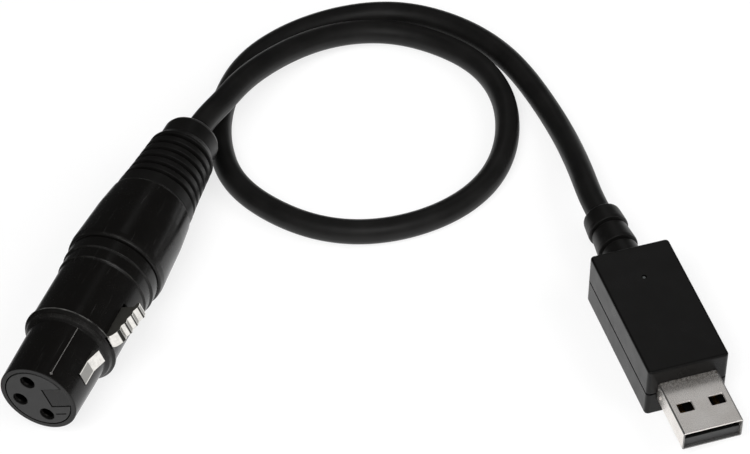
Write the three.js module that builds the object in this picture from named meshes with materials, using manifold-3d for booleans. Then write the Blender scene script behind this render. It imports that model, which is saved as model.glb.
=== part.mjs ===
// A lighting-control adapter lead: a small plug housing with its circuit board, a short free cord,
// and a round three-contact cable connector with a sprung latch. Millimetres, +Z up.
// The housing stands flat on Z = 0 with its plug towards -Y, the origin under its middle.
import * as THREE from 'three';
import { mergeVertices } from 'three/addons/utils/BufferGeometryUtils.js';
import Module from 'manifold-3d';

const wasm = await Module();
wasm.setup();

// Clearances and the overrun of every cut
const overrun = 1;
const seamGap = 0.15;
const slideFit = 0.15;
const closeFit = 0.1;
const seatGap = 0.3;

// Plug housing: two shells that meet at the parting height
const housingLength = 32;
const housingWidth = 16.4;
const housingHeight = 12;
const partingHeight = 5.65;
const housingWall = 1.2;
const housingEdge = 0.5;
const housingCorner = 0.8;
const lipHeight = 0.9;
const lipThickness = 0.5;
const gripRibThickness = 1.2;
const gripRibSetback = 0.9;

// Flat four-contact plug
const plugWidth = 12;
const plugHeight = 4.5;
const plugReach = 12.95;
const plugSeat = 5.8;
const plugSheet = 0.3;
const plugCorner = 0.7;
const plugCentreHeight = 6;
const windowWidth = 2.5;
const windowLength = 2;
const windowSetback = 5.2;
const windowSpacing = 6.4;
const tongueThickness = 1.95;
const tongueSetback = 0.6;
const tongueBackThickness = 1.2;
const contactThickness = 0.25;
const contactWidth = 1;
const contactSetback = 1.2;
const contactTail = 2.4;
const outerContactPlace = 3.5;
const innerContactPlace = 1;

// Circuit board and what is soldered to it
const boardThickness = 1;
const boardSideGap = 0.7;
const boardEndClearance = 4.6;
const boardTopDrop = 0.4;
const postRadius = 0.9;
const postInset = 1.1;
const postPlaceShare = 0.521739;
const postPinShare = 0.195652;
const postPinProud = 0.3;
const chipLength = 7.2;
const chipSideRoom = 2.65;
const chipHeight = 1.4;
const chipLegCount = 10;
const driverLength = 4.9;
const driverWidth = 3.9;
const driverHeight = 1.4;
const driverLegCount = 4;
const legPitch = 0.65;
const driverLegPitch = 1.27;
const legWidth = 0.3;
const legReach = 1;
const legHeight = 0.5;
const legSheet = 0.2;
const chipStandoff = 0.1;
const crystalLength = 3.2;
const crystalWidth = 2.5;
const crystalHeight = 0.8;
const capacitorLength = 2;
const capacitorWidth = 1.25;
const capacitorHeight = 0.9;
const capacitorSpacing = 3.4;
const ledLength = 1.6;
const ledWidth = 0.8;
const ledHeight = 0.6;
const ledSetback = 8.3;
const pipeRadius = 0.32;
const pipeRecess = 0.25;
const pipeBossRadius = 1.3;
const pipeBossDrop = 2.2;

// Cord, its conductors and the strain boot on the housing
const cordRadius = 2.55;
const cordSides = 10;
const cordSteps = 48;
const conductorRadius = 0.5;
const conductorSides = 6;
const conductorSteps = 5;
const conductorSpread = 1.2;
const conductorPadSpacing = 2.6;
const conductorTail = 1.9;
const bootHeight = 6.3;
const bootLength = 14.4;
const bootFrontRadius = 4.2;
const bootBackRadius = 4;
const bootEndRound = 1.2;
const bootNeckRadius = 3;
const bootFlangeRadius = 4;
const bootFlangeThickness = 1.8;
const bootTailReach = 1.2;
const bootGrooveWidth = 0.8;
const bootGrooveDepth = 0.7;
const bootGrooveShares = [0.303, 0.659];

// Round connector: where it lies, which way it points, and how its latch is turned about its axis
const connectorX = -119.1;
const connectorY = 14.5;
const connectorHeadingDegrees = -37.97;
const latchTurnDegrees = 66;

// Connector shell, front to back
const barrelRadius = 8;
const barrelTaper = 0.2;
const barrelWall = 1.2;
const barrelLength = 12;
const frontEdge = 0.5;
const collarRise = 1.35;
const collarSlope = 2.4;
const collarFlat = 1.8;
const collarBack = 1.1;
const bodyRadius = 9;
const bodyWall = 1.65;
const firstStepSetback = 5.8;
const secondStepSetback = 3;
const stepRise = 0.22;
const stepSlope = 0.3;
const shellLength = 35;
const spigotWall = 0.55;
const spigotLength = 7.4;
const keyWidth = 4.3;
const keyDepth = 4.6;
const keyThickness = 2.6;
const mouldRidgeWidth = 0.4;
const mouldRidgeProud = 0.15;
const mouldRidgeTurnDegrees = -46;

// Contact insert
const insertStep = 16.6;
const insertFlangeThickness = 2.8;
const insertRecess = 0.1;
const sleevePitchRadius = 4.2;
const sleeveTurnDegrees = 93;
const sleeveRadius = 1.45;
const sleeveBore = 1.2;
const sleeveRecess = 1.5;
const sleeveDepth = 12.4;
const cupRadius = 1.1;
const cupLength = 4.4;

// Latch
const latchWidth = 2.8;
const latchSheet = 0.6;
const latchProud = 0.05;
const hookTip = 4.8;
const hookRampStart = 8.3;
const hookRampLength = 2.75;
const hookHeight = 1.25;
const hookBackSlope = 0.15;
const thumbStart = 14.65;
const thumbLength = 9.2;
const thumbHeight = 5.25;
const thumbOutlineShares = [
  [0, 0.3], [0.005, 0.352], [0.016, 0.448], [0.038, 0.524], [0.082, 0.6], [0.147, 0.686], [0.223, 0.743],
  [0.321, 0.705], [0.424, 0.848], [0.533, 0.8], [0.658, 0.914], [0.755, 0.876], [0.891, 1], [0.994, 0.952],
  [0.99, 0.86], [0.885, 0.8], [0.885, 0.13],
];
const pivotSetback = 4.9;
const pivotDepth = 1.35;
const knuckleRadius = 0.8;
const pivotPinRadius = 0.4;
const pivotPinSeat = 0.85;
const springSheet = 0.25;
const springWidth = 2.4;
const springTail = 3.4;
const springLead = 3.8;

// Rear cap, chuck and ribbed boot of the connector
const capFrontRise = 0.41;
const capRise = 0.61;
const capTaper = 1.6;
const capLength = 17.7;
const capShoulderThickness = 3;
const chuckLength = 7.4;
const chuckSlitCount = 2;
const chuckSlitWidth = 0.8;
const chuckSlitShare = 0.55;
const sleeveBootLength = 22.75;
const sleeveBootFlange = 2.6;
const sleeveBootNeckStep = 0.925;
const sleeveBootGroovePlace = 4.6;
const sleeveBootGroovePitch = 2.32;
const sleeveBootGrooveCount = 6;
const sleeveBootGrooveWidth = 0.7;
const sleeveBootGrooveDepth = 0.5;
const sleeveBootOutlineShares = [
  [0.99, 0], [0.975, 0.11], [0.93, 0.235], [0.893, 0.385], [0.846, 0.605], [0.812, 0.765], [0.775, 0.79],
  [0.705, 0.802], [0.7, 0.92], [0.665, 0.95], [0.58, 0.982], [0.475, 1],
];
const cupLeadLength = 7.75;

// The cord's route on the surface, from the housing's boot round the loop to the connector's boot
const cordRoute = [
  [0, 30.9, 6.3], [0.05, 36.1, 6.2], [0.8, 43.4, 5.5], [1.6, 50.4, 4.3], [2.1, 57.8, 3.1], [1.9, 65.6, 2.6],
  [1, 73.8, 2.6], [-0.8, 82.6, 2.6], [-4.6, 91.4, 2.6], [-10.6, 98.9, 2.6], [-18.7, 104.5, 2.6],
  [-28, 106.8, 2.6], [-37.5, 106.4, 2.6], [-46.6, 103.8, 2.6], [-54.2, 99.3, 2.6], [-59.7, 93.3, 2.6],
  [-63.4, 86.9, 2.6], [-65.7, 80.5, 2.6], [-66.8, 74.2, 2.6], [-66.7, 67.6, 2.6], [-64.8, 61.4, 2.6],
  [-61, 55.2, 2.6], [-55.3, 49.3, 2.6], [-48.2, 45.2, 2.6], [-40.2, 43.4, 2.6], [-31.5, 43.8, 2.6],
  [-23.5, 46.3, 2.6], [-16.8, 50.7, 2.6], [-11.5, 57, 2.6], [-8, 64.2, 2.6], [-6.1, 73, 2.6],
  [-7.5, 83.4, 2.6], [-13.6, 92.8, 2.6], [-22, 99, 2.8], [-32, 100.7, 3.8], [-42, 98.4, 5.4],
  [-51.1, 93.7, 7.1], [-59, 87.8, 8.5], [-64.7, 82.2, 9.35], [-68.6, 78.4, 9.95], [-72.1, 74.72, 10.05],
];

// Facets of the turned pieces
const bodySides = 40;
const smallSides = 20;
const tinySides = 10;

const radians = THREE.MathUtils.degToRad;

// Closed surface with shared corners, its faces turned outwards, as a solid for cutting and joining
function solid(geometry) {
  const bare = geometry.index ? geometry.toNonIndexed() : geometry.clone();
  bare.deleteAttribute('normal');
  bare.deleteAttribute('uv');
  const shared = mergeVertices(bare);
  const corners = shared.getAttribute('position').array;
  const faces = [];
  let volume = 0;
  const [a, b, c] = [new THREE.Vector3(), new THREE.Vector3(), new THREE.Vector3()];
  for (let i = 0; i < shared.index.count; i += 3) {
    const [p, q, r] = [0, 1, 2].map((k) => shared.index.getX(i + k));
    if (p === q || q === r || r === p) continue;
    faces.push([p, q, r]);
    a.fromArray(corners, 3 * p);
    b.fromArray(corners, 3 * q);
    c.fromArray(corners, 3 * r);
    volume += a.dot(b.cross(c));
  }
  const outward = volume > 0 ? faces : faces.map(([p, q, r]) => [p, r, q]);
  return new wasm.Manifold(new wasm.Mesh({
    numProp: 3,
    vertProperties: Float32Array.from(corners),
    triVerts: Uint32Array.from(outward.flat()),
  }));
}

// Join or cut a list of solids
const joined = (solids) => solids.reduce((all, next) => all.add(next));
const without = (body, cuts) => cuts.reduce((rest, cut) => rest.subtract(cut), body);

// Block between two opposite corners
function block([x0, y0, z0], [x1, y1, z1]) {
  const geometry = new THREE.BoxGeometry(x1 - x0, y1 - y0, z1 - z0);
  return solid(geometry.translate((x0 + x1) / 2, (y0 + y1) / 2, (z0 + z1) / 2));
}

// Upright round bar, and one lying along Y or across X
function post(radius, [x, y, z0], z1, sides = smallSides) {
  const geometry = new THREE.CylinderGeometry(radius, radius, z1 - z0, sides).rotateX(Math.PI / 2);
  return solid(geometry.translate(x, y, (z0 + z1) / 2));
}

function barAlongY(radius, [x, y0, z], y1, sides = smallSides) {
  const geometry = new THREE.CylinderGeometry(radius, radius, y1 - y0, sides);
  return solid(geometry.translate(x, (y0 + y1) / 2, z));
}

function barAcrossX(radius, [x0, y, z], x1, sides = smallSides) {
  const geometry = new THREE.CylinderGeometry(radius, radius, x1 - x0, sides).rotateZ(Math.PI / 2);
  return solid(geometry.translate((x0 + x1) / 2, y, z));
}

// Body turned about the Y axis from a list of [radius, y] points that closes on itself or on the axis
function turned(outline, sides = bodySides) {
  const points = outline.map(([radius, y]) => new THREE.Vector2(radius, y));
  const onAxis = outline[0][0] === 0 && outline[outline.length - 1][0] === 0;
  return solid(new THREE.LatheGeometry(onAxis ? points : [...points, points[0]], sides));
}

// Rectangle with round corners, about its middle
function roundedRectangle(width, height, corner) {
  const [x, y] = [width / 2, height / 2];
  const shape = new THREE.Shape();
  shape.moveTo(corner - x, -y);
  shape.lineTo(x - corner, -y);
  shape.absarc(x - corner, corner - y, corner, -Math.PI / 2, 0);
  shape.lineTo(x, y - corner);
  shape.absarc(x - corner, y - corner, corner, 0, Math.PI / 2);
  shape.lineTo(corner - x, y);
  shape.absarc(corner - x, y - corner, corner, Math.PI / 2, Math.PI);
  shape.lineTo(-x, corner - y);
  shape.absarc(corner - x, corner - y, corner, Math.PI, 3 * Math.PI / 2);
  return shape;
}

// Outline in X and Z carried along Y, and outline in Y and Z carried across X
function alongY(shape, y0, y1, curveSegments = 3) {
  const geometry = new THREE.ExtrudeGeometry(shape, { depth: y1 - y0, bevelEnabled: false, curveSegments });
  return solid(geometry.rotateX(Math.PI / 2).translate(0, y1, 0));
}

function acrossX(points, width) {
  const shape = new THREE.Shape(points.map(([y, z]) => new THREE.Vector2(y, z)));
  const geometry = new THREE.ExtrudeGeometry(shape, { depth: width, bevelEnabled: false });
  const axes = [new THREE.Vector3(0, 1, 0), new THREE.Vector3(0, 0, 1), new THREE.Vector3(1, 0, 0)];
  geometry.translate(0, 0, -width / 2).applyMatrix4(new THREE.Matrix4().makeBasis(...axes));
  return solid(geometry);
}

// Round tube of a few sides through a list of points
function tube(points, radius, sides, steps) {
  const turn = (i) => 2 * Math.PI * i / sides;
  const ring = Array.from({ length: sides }, (_, i) => new THREE.Vector2(
    radius * Math.cos(turn(i)), radius * Math.sin(turn(i))));
  const path = new THREE.CatmullRomCurve3(points.map((point) => new THREE.Vector3(...point)));
  return solid(new THREE.ExtrudeGeometry(new THREE.Shape(ring), { steps, extrudePath: path }));
}

// Radius of an outline at a station, between its [radius, y] points
function radiusAt(outline, y) {
  const next = Math.max(1, outline.findIndex(([, station]) => station >= y));
  const [[r0, y0], [r1, y1]] = [outline[next - 1], outline[next]];
  return r0 + (r1 - r0) * (y - y0) / (y1 - y0);
}

// The same outline with a narrow flat-bottomed groove at each station
function grooved(outline, stations, width, depth) {
  const grooves = stations.flatMap((y) => [-width / 2, -width / 4, width / 4, width / 2].map((shift, i) => {
    const radius = radiusAt(outline, y + shift);
    return [i === 0 || i === 3 ? radius : radius - depth, y + shift];
  }));
  const inGroove = ([, y]) => stations.some((station) => Math.abs(station - y) <= width / 2);
  return [...outline.filter((point) => !inGroove(point)), ...grooves].sort((p, q) => p[1] - q[1]);
}

// Quarter of a circle as [radius, y] points, from one bearing to another about a centre
function roundedEdge([radius, y], size, from, to, steps = 3) {
  return Array.from({ length: steps + 1 }, (_, i) => {
    const bearing = from + (to - from) * i / steps;
    return [radius + size * Math.cos(bearing), y + size * Math.sin(bearing)];
  });
}

const finish = (colour, roughness, metalness) => ({ color: colour, roughness, metalness });
const finishes = {
  housingPlastic: finish(0x141416, 0.42, 0),
  cordJacket: finish(0x19191a, 0.5, 0),
  bootRubber: finish(0x18181a, 0.6, 0),
  blackCoat: finish(0x171718, 0.38, 0.2),
  insertPlastic: finish(0x3a3a3c, 0.45, 0),
  tonguePlastic: finish(0x101012, 0.4, 0),
  nickel: finish(0xcfccc6, 0.22, 1),
  gold: finish(0xd9b25a, 0.25, 1),
  springSteel: finish(0x9a9da2, 0.3, 1),
  boardLaminate: finish(0x1f5a38, 0.5, 0),
  chipResin: finish(0x202022, 0.55, 0),
  ceramic: finish(0xb79a72, 0.6, 0),
  lens: finish(0xdfe7ea, 0.15, 0),
  redSleeve: finish(0xb02a22, 0.45, 0),
  whiteSleeve: finish(0xe4e2dc, 0.45, 0),
  bareCopper: finish(0xb8713f, 0.35, 1),
};

// One named piece of a group
function addPiece(group, name, body, material) {
  const { vertProperties, triVerts } = body.getMesh();
  const geometry = new THREE.BufferGeometry();
  geometry.setAttribute('position', new THREE.BufferAttribute(Float32Array.from(vertProperties), 3));
  geometry.setIndex(Array.from(triVerts));
  geometry.computeVertexNormals();
  const piece = new THREE.Mesh(geometry, new THREE.MeshStandardMaterial(material));
  piece.name = name;
  group.add(piece);
}

// Places along the housing and up through it
const housingBack = housingLength / 2;
const housingFront = -housingLength / 2;
const innerX = housingWidth / 2 - housingWall;
const innerBack = housingBack - housingWall;
const innerFront = housingFront + housingWall;
const innerTop = housingHeight - housingWall;
const plugMouth = housingFront - plugReach;
const plugBack = housingFront + plugSeat;
const plugFloor = plugCentreHeight - plugHeight / 2 + plugSheet;
const tongueTop = plugFloor + closeFit + tongueThickness;
const boardTop = plugCentreHeight - boardTopDrop;
const boardBottom = boardTop - boardThickness;
const boardWidth = housingWidth - 2 * (housingWall + boardSideGap);
const boardFront = plugBack + seatGap;
const boardBack = innerBack - boardEndClearance;
const chipWidth = boardWidth - 2 * (legReach + chipSideRoom);
const ledPlace = housingBack - ledSetback;
const gripRibBack = plugBack - gripRibSetback;
const jacketFront = innerBack - bootFlangeThickness - bootTailReach - slideFit;
const bootFront = housingBack + slideFit;
const bootBack = bootFront + bootLength;
const contactEdge = outerContactPlace + contactWidth / 2;
const postRoom = boardWidth / 2 - contactEdge;
const postPinRadius = postPinShare * postRoom;
const postX = contactEdge + postPlaceShare * postRoom;
const postPlaces = [[-1, boardFront], [1, boardFront], [-1, boardBack], [1, boardBack]].map(
  ([side, end]) => [side * postX, end - Math.sign(end) * postInset]);

// Block of the housing with all its outer edges rounded
function housingBlock() {
  const geometry = new THREE.ExtrudeGeometry(roundedRectangle(housingWidth, housingLength, housingCorner), {
    depth: housingHeight - 2 * housingEdge,
    bevelThickness: housingEdge,
    bevelSize: housingEdge,
    bevelOffset: -housingEdge,
    bevelSegments: 2,
    curveSegments: 3,
  });
  return solid(geometry.translate(0, 0, housingEdge));
}

// Hollow of the housing: the room inside its walls, less the rib that grips the plug
function housingHollow() {
  const room = block([-innerX, innerFront, housingWall], [innerX, innerBack, innerTop]);
  const rib = block([-innerX - overrun, gripRibBack - gripRibThickness, 0],
    [innerX + overrun, gripRibBack, housingHeight]);
  return room.subtract(rib);
}

// Ways through the front and back walls
function plugWay() {
  const width = plugWidth + 2 * slideFit;
  const height = plugHeight + 2 * slideFit;
  const way = alongY(roundedRectangle(width, height, plugCorner + slideFit), housingFront - overrun, plugBack);
  return way.translate([0, 0, plugCentreHeight]);
}

function bootWay() {
  return barAlongY(bootNeckRadius + slideFit, [0, innerBack - overrun, bootHeight], housingBack + overrun);
}

// Ring round the joint, halfway into the wall, between two heights
function lipRing(outerInset, innerInset, z0, z1) {
  const [outerX, outerY] = [housingWidth / 2 - outerInset, housingLength / 2 - outerInset];
  const [ringX, ringY] = [housingWidth / 2 - innerInset, housingLength / 2 - innerInset];
  return block([-outerX, -outerY, z0], [outerX, outerY, z1]).subtract(
    block([-ringX, -ringY, z0 - overrun], [ringX, ringY, z1 + overrun]));
}

function housingBottom() {
  const half = block([-housingWidth, -housingLength, -overrun],
    [housingWidth, housingLength, partingHeight - seamGap / 2]);
  const lip = lipRing(housingWall - lipThickness, housingWall, partingHeight - overrun,
    partingHeight + lipHeight);
  const posts = postPlaces.flatMap(([x, y]) => [
    post(postRadius, [x, y, housingWall - seamGap], boardBottom - closeFit),
    post(postPinRadius, [x, y, housingWall], boardTop + postPinProud, tinySides),
  ]);
  const shell = housingBlock().intersect(half).subtract(housingHollow());
  return without(joined([shell, lip, ...posts]), [plugWay(), bootWay()]);
}

function housingTop() {
  const half = block([-housingWidth, -housingLength, partingHeight + seamGap / 2],
    [housingWidth, housingLength, housingHeight + overrun]);
  const rebate = lipRing(housingWall - lipThickness - slideFit, housingWall + overrun,
    partingHeight - overrun, partingHeight + lipHeight + slideFit);
  const boss = post(pipeBossRadius, [0, ledPlace, innerTop - pipeBossDrop], innerTop + seamGap);
  const pipeWay = post(pipeRadius + closeFit, [0, ledPlace, innerTop - pipeBossDrop - overrun],
    housingHeight + overrun, tinySides);
  const shell = housingBlock().intersect(half).subtract(housingHollow());
  return without(shell.add(boss), [rebate, plugWay(), bootWay(), pipeWay]);
}

function plugShell() {
  const outer = alongY(roundedRectangle(plugWidth, plugHeight, plugCorner), plugMouth, plugBack);
  const inner = alongY(roundedRectangle(plugWidth - 2 * plugSheet, plugHeight - 2 * plugSheet,
    plugCorner - plugSheet), plugMouth - overrun, plugBack + overrun);
  const windowFront = plugMouth + windowSetback;
  const windows = [-1, 1].map((side) => block(
    [side * windowSpacing / 2 - windowWidth / 2, windowFront, -plugHeight],
    [side * windowSpacing / 2 + windowWidth / 2, windowFront + windowLength, plugHeight]));
  return without(outer, [inner, ...windows]).translate([0, 0, plugCentreHeight]);
}

// Tongue of the plug, with a comb at its back that the contacts lie in
function plugTongue() {
  const halfWidth = plugWidth / 2 - plugSheet - closeFit;
  const bottom = plugFloor + closeFit;
  const back = plugBack - seatGap;
  const combTop = plugCentreHeight + plugHeight / 2 - plugSheet - closeFit;
  const tongue = block([-halfWidth, plugMouth + tongueSetback, bottom], [halfWidth, back, tongueTop]);
  const comb = block([-halfWidth, back - tongueBackThickness, bottom], [halfWidth, back, combTop]);
  const gates = contactPlaces.map((x) => block(
    [x - contactWidth / 2 - slideFit, back - tongueBackThickness - overrun, tongueTop],
    [x + contactWidth / 2 + slideFit, back + overrun, combTop + overrun]));
  const room = alongY(roundedRectangle(2 * halfWidth, combTop - bottom, plugCorner - plugSheet), plugMouth,
    back);
  return without(tongue.add(comb).intersect(room.translate([0, 0, plugCentreHeight])), gates);
}

// Strip along the tongue that steps down to the board behind it
function plugContact(x) {
  const top = tongueTop + closeFit;
  const step = boardTop + closeFit;
  const front = plugMouth + tongueSetback + contactSetback;
  const strip = acrossX([
    [front, top], [plugBack, top], [boardFront + seatGap, step], [boardFront + contactTail, step],
    [boardFront + contactTail, step + contactThickness], [boardFront + seatGap, step + contactThickness],
    [plugBack, top + contactThickness], [front, top + contactThickness],
  ], contactWidth);
  return strip.translate([x, 0, 0]);
}

const contactPlaces = [-outerContactPlace, -innerContactPlace, innerContactPlace, outerContactPlace];

function circuitBoard() {
  const board = block([-boardWidth / 2, boardFront, boardBottom], [boardWidth / 2, boardBack, boardTop]);
  const holes = postPlaces.map(([x, y]) => post(postPinRadius + closeFit, [x, y, boardBottom - overrun],
    boardTop + overrun, tinySides));
  return without(board, holes);
}

// Moulded chip with a row of bent legs down each side, standing on its legs at Z = 0
function leggedChip(length, width, height, count, pitch) {
  const resin = block([-width / 2, -length / 2, chipStandoff], [width / 2, length / 2, chipStandoff + height]);
  const legs = [-1, 1].flatMap((side) => Array.from({ length: count }, (_, i) => {
    const y = (i - (count - 1) / 2) * pitch;
    const reach = side * (width / 2 + legReach);
    const [low, high] = [Math.min(0, reach), Math.max(0, reach)];
    const arm = block([low, y - legWidth / 2, legHeight], [high, y + legWidth / 2, legHeight + legSheet]);
    const foot = reach - side * legSheet;
    const leg = block([Math.min(foot, reach), y - legWidth / 2, 0],
      [Math.max(foot, reach), y + legWidth / 2, legHeight + legSheet]);
    return arm.add(leg);
  }));
  return joined([resin, ...legs]);
}

function ledPipe() {
  const low = boardTop + closeFit + ledHeight + closeFit;
  return post(pipeRadius, [0, ledPlace, low], housingHeight - pipeRecess, tinySides);
}

// Ribbed strain boot on the housing, about its own axis
function strainBoot() {
  const main = [
    [bootFrontRadius, bootFront],
    [bootBackRadius, bootBack - bootEndRound],
    ...roundedEdge([bootBackRadius - bootEndRound, bootBack - bootEndRound], bootEndRound, 0,
      Math.PI / 2).slice(1),
  ];
  const stations = bootGrooveShares.map((share) => bootFront + share * bootLength);
  const flangeBack = innerBack - slideFit;
  const outline = [
    [cordRadius + closeFit, flangeBack - bootFlangeThickness],
    [bootFlangeRadius, flangeBack - bootFlangeThickness],
    [bootFlangeRadius, flangeBack],
    [bootNeckRadius, flangeBack],
    [bootNeckRadius, bootFront],
    ...grooved(main, stations, bootGrooveWidth, bootGrooveDepth),
    [cordRadius + closeFit, bootBack],
  ];
  return turned(outline, bodySides).translate([0, 0, bootHeight]);
}

// Three conductors side by side from a jacket's end to the places where they are soldered
function conductors(start, ends, centre) {
  return ends.map((end, i) => {
    const bearing = Math.PI / 2 + 2 * Math.PI * i / ends.length;
    const [x, z] = [conductorSpread * Math.cos(bearing), centre + conductorSpread * Math.sin(bearing)];
    const lead = (end[1] - start) * 0.2;
    return tube([[x, start, z], [x, start + lead, z], [end[0], end[1] - lead, end[2]], end],
      conductorRadius, conductorSides, conductorSteps);
  });
}

function plugEnd() {
  const end = new THREE.Group();
  const pad = boardTop + closeFit;
  addPiece(end, 'housing_top', housingTop(), finishes.housingPlastic);
  addPiece(end, 'housing_bottom', housingBottom(), finishes.housingPlastic);
  addPiece(end, 'plug_shell', plugShell(), finishes.nickel);
  addPiece(end, 'plug_tongue', plugTongue(), finishes.tonguePlastic);
  contactPlaces.forEach((x, i) => addPiece(end, `plug_contact_${i + 1}`, plugContact(x), finishes.gold));
  addPiece(end, 'circuit_board', circuitBoard(), finishes.boardLaminate);
  const middle = (boardFront + contactTail + ledPlace - ledLength) / 2;
  addPiece(end, 'bridge_chip', leggedChip(chipLength, chipWidth, chipHeight, chipLegCount, legPitch)
    .translate([0, middle, pad]), finishes.chipResin);
  addPiece(end, 'line_driver_chip', leggedChip(driverLength, driverWidth, driverHeight, driverLegCount,
    driverLegPitch).rotate([0, 180, 0]).translate([0, middle, boardBottom - closeFit]), finishes.chipResin);
  const sideX = boardWidth / 2 - capacitorWidth / 2 - closeFit;
  addPiece(end, 'crystal', block([-sideX - capacitorWidth / 2, middle - crystalLength / 2, pad],
    [-sideX - capacitorWidth / 2 + crystalWidth / 2, middle + crystalLength / 2, pad + crystalHeight]),
  finishes.nickel);
  [-1, 1].forEach((side, i) => {
    const y = middle + side * capacitorSpacing / 2;
    addPiece(end, `capacitor_${i + 1}`, block([sideX - capacitorWidth / 2, y - capacitorLength / 2, pad],
      [sideX + capacitorWidth / 2, y + capacitorLength / 2, pad + capacitorHeight]), finishes.ceramic);
  });
  addPiece(end, 'status_led', block([-ledLength / 2, ledPlace - ledWidth / 2, pad],
    [ledLength / 2, ledPlace + ledWidth / 2, pad + ledHeight]), finishes.lens);
  addPiece(end, 'led_light_pipe', ledPipe(), finishes.lens);
  const pads = [0, -1, 1].map((side) => [side * conductorPadSpacing, boardBack - conductorTail / 2,
    pad + conductorRadius]);
  const sleeves = [finishes.bareCopper, finishes.redSleeve, finishes.whiteSleeve];
  conductors(jacketFront - seatGap, pads, bootHeight).forEach((wire, i) => addPiece(end,
    `board_conductor_${i + 1}`, wire, sleeves[i]));
  addPiece(end, 'housing_jacket', barAlongY(cordRadius, [0, jacketFront, bootHeight], bootBack, cordSides * 2),
    finishes.cordJacket);
  addPiece(end, 'strain_boot', strainBoot(), finishes.bootRubber);
  return end;
}

// Stations along the connector, from its front face, and radii about its axis
const collarRadius = barrelRadius + collarRise;
const collarStart = barrelLength;
const collarEnd = barrelLength + collarSlope + collarFlat + collarBack;
const barrelBore = barrelRadius - barrelWall;
const bodyBore = bodyRadius - bodyWall;
const insertRadius = barrelBore - slideFit;
const insertBack = insertStep + slideFit + insertFlangeThickness;
const cupEnd = insertBack + closeFit + cupLength;
const jacketStart = cupEnd + closeFit + cupLeadLength + seatGap;
const rearRadius = bodyRadius + 2 * stepRise;
const firstStepPlace = shellLength - firstStepSetback;
const secondStepPlace = shellLength - secondStepSetback;
const capFrontRadius = rearRadius + capFrontRise;
const capRadius = rearRadius + capRise;
const capBackRadius = capRadius - capTaper;
const capStart = shellLength + seatGap;
const capEnd = capStart + capLength;
const spigotEnd = shellLength + spigotLength;
const spigotRadius = bodyBore + spigotWall;
const capBore = spigotRadius + slideFit;
const capChamber = capBore - bodyWall / 2;
const sleeveBootNeckRadius = capChamber - sleeveBootNeckStep;
const latchTop = barrelRadius + latchProud;
const latchBottom = latchTop - latchSheet;
const hookBack = hookRampStart + hookRampLength + hookBackSlope;
const slotHalf = latchWidth / 2 + seatGap;
const pivotPlace = shellLength - pivotSetback;
const pivotHeight = bodyRadius - pivotDepth;
const thumbEnd = thumbStart + thumbLength;
const leverDeck = pivotHeight + latchSheet / 2;
const sleevePlaces = [-sleeveTurnDegrees, 180, sleeveTurnDegrees].map((degrees) => [
  sleevePitchRadius * Math.sin(radians(degrees)), sleevePitchRadius * Math.cos(radians(degrees))]);

// Outside and bore of the shell, in one closed outline
function shellOutline() {
  const front = barrelRadius - barrelTaper;
  return [
    [barrelBore, 0],
    ...roundedEdge([front - frontEdge, frontEdge], frontEdge, -Math.PI / 2, 0),
    [barrelRadius, collarStart],
    [collarRadius - collarRise / 3, collarStart + collarSlope * 0.6],
    [collarRadius, collarStart + collarSlope],
    [collarRadius, collarEnd - collarBack],
    [bodyRadius, collarEnd],
    [bodyRadius, firstStepPlace],
    [bodyRadius + stepRise, firstStepPlace + stepSlope],
    [bodyRadius + stepRise, secondStepPlace],
    [rearRadius, secondStepPlace + stepSlope],
    [rearRadius, shellLength - stepSlope],
    [rearRadius - stepRise, shellLength],
    [spigotRadius, shellLength],
    [spigotRadius, spigotEnd],
    [bodyBore, spigotEnd],
    [bodyBore, insertStep],
    [barrelBore, insertStep],
  ];
}

// Shell of the connector, its latch on +Z
function connectorShell() {
  const keyTop = (barrelRadius + barrelBore) / 2;
  const key = block([-keyWidth / 2, 0, barrelBore - keyDepth], [keyWidth / 2, keyThickness, keyTop]);
  const keyBounds = turned([[0, 0], [keyTop, 0], [keyTop, keyThickness], [0, keyThickness]]);
  const ridgeRadius = barrelRadius - barrelTaper + mouldRidgeProud;
  const ridge = block([-mouldRidgeWidth / 2, frontEdge * 2, barrelBore + barrelWall / 2],
    [mouldRidgeWidth / 2, collarStart + collarSlope / 2, ridgeRadius])
    .rotate([0, mouldRidgeTurnDegrees, 0]);
  const outside = bodyRadius + collarRise;
  const cuts = [
    block([-slotHalf, hookTip - seatGap, 0], [slotHalf, hookBack + seatGap, outside]),
    block([-slotHalf, hookBack, 0], [slotHalf, thumbStart, latchTop + slideFit]),
    block([-slotHalf, thumbStart - seatGap, 0], [slotHalf, thumbEnd + seatGap, outside]),
    block([-slotHalf, thumbEnd, 0], [slotHalf, pivotPlace + knuckleRadius + seatGap,
      pivotHeight + knuckleRadius + slideFit]),
    barAcrossX(pivotPinRadius + closeFit, [-slotHalf - pivotPinSeat - closeFit, pivotPlace, pivotHeight],
      slotHalf + pivotPinSeat + closeFit, tinySides),
  ];
  return without(joined([turned(shellOutline()), key.intersect(keyBounds), ridge]), cuts);
}

// Insert that holds the contact sleeves, with its keyway on +Z
function connectorInsert() {
  const flange = bodyBore - slideFit;
  const body = turned([
    [0, insertRecess], [insertRadius, insertRecess], [insertRadius, insertStep + slideFit],
    [flange, insertStep + slideFit], [flange, insertBack], [0, insertBack],
  ]);
  const keyway = block([-keyWidth / 2 - slideFit, -overrun, barrelBore - keyDepth - slideFit],
    [keyWidth / 2 + slideFit, insertBack + overrun, bodyRadius]);
  const bores = sleevePlaces.map(([x, z]) => barAlongY(sleeveRadius + closeFit, [x, -overrun, z],
    insertBack + overrun));
  return without(body, [keyway, ...bores]);
}

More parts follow.
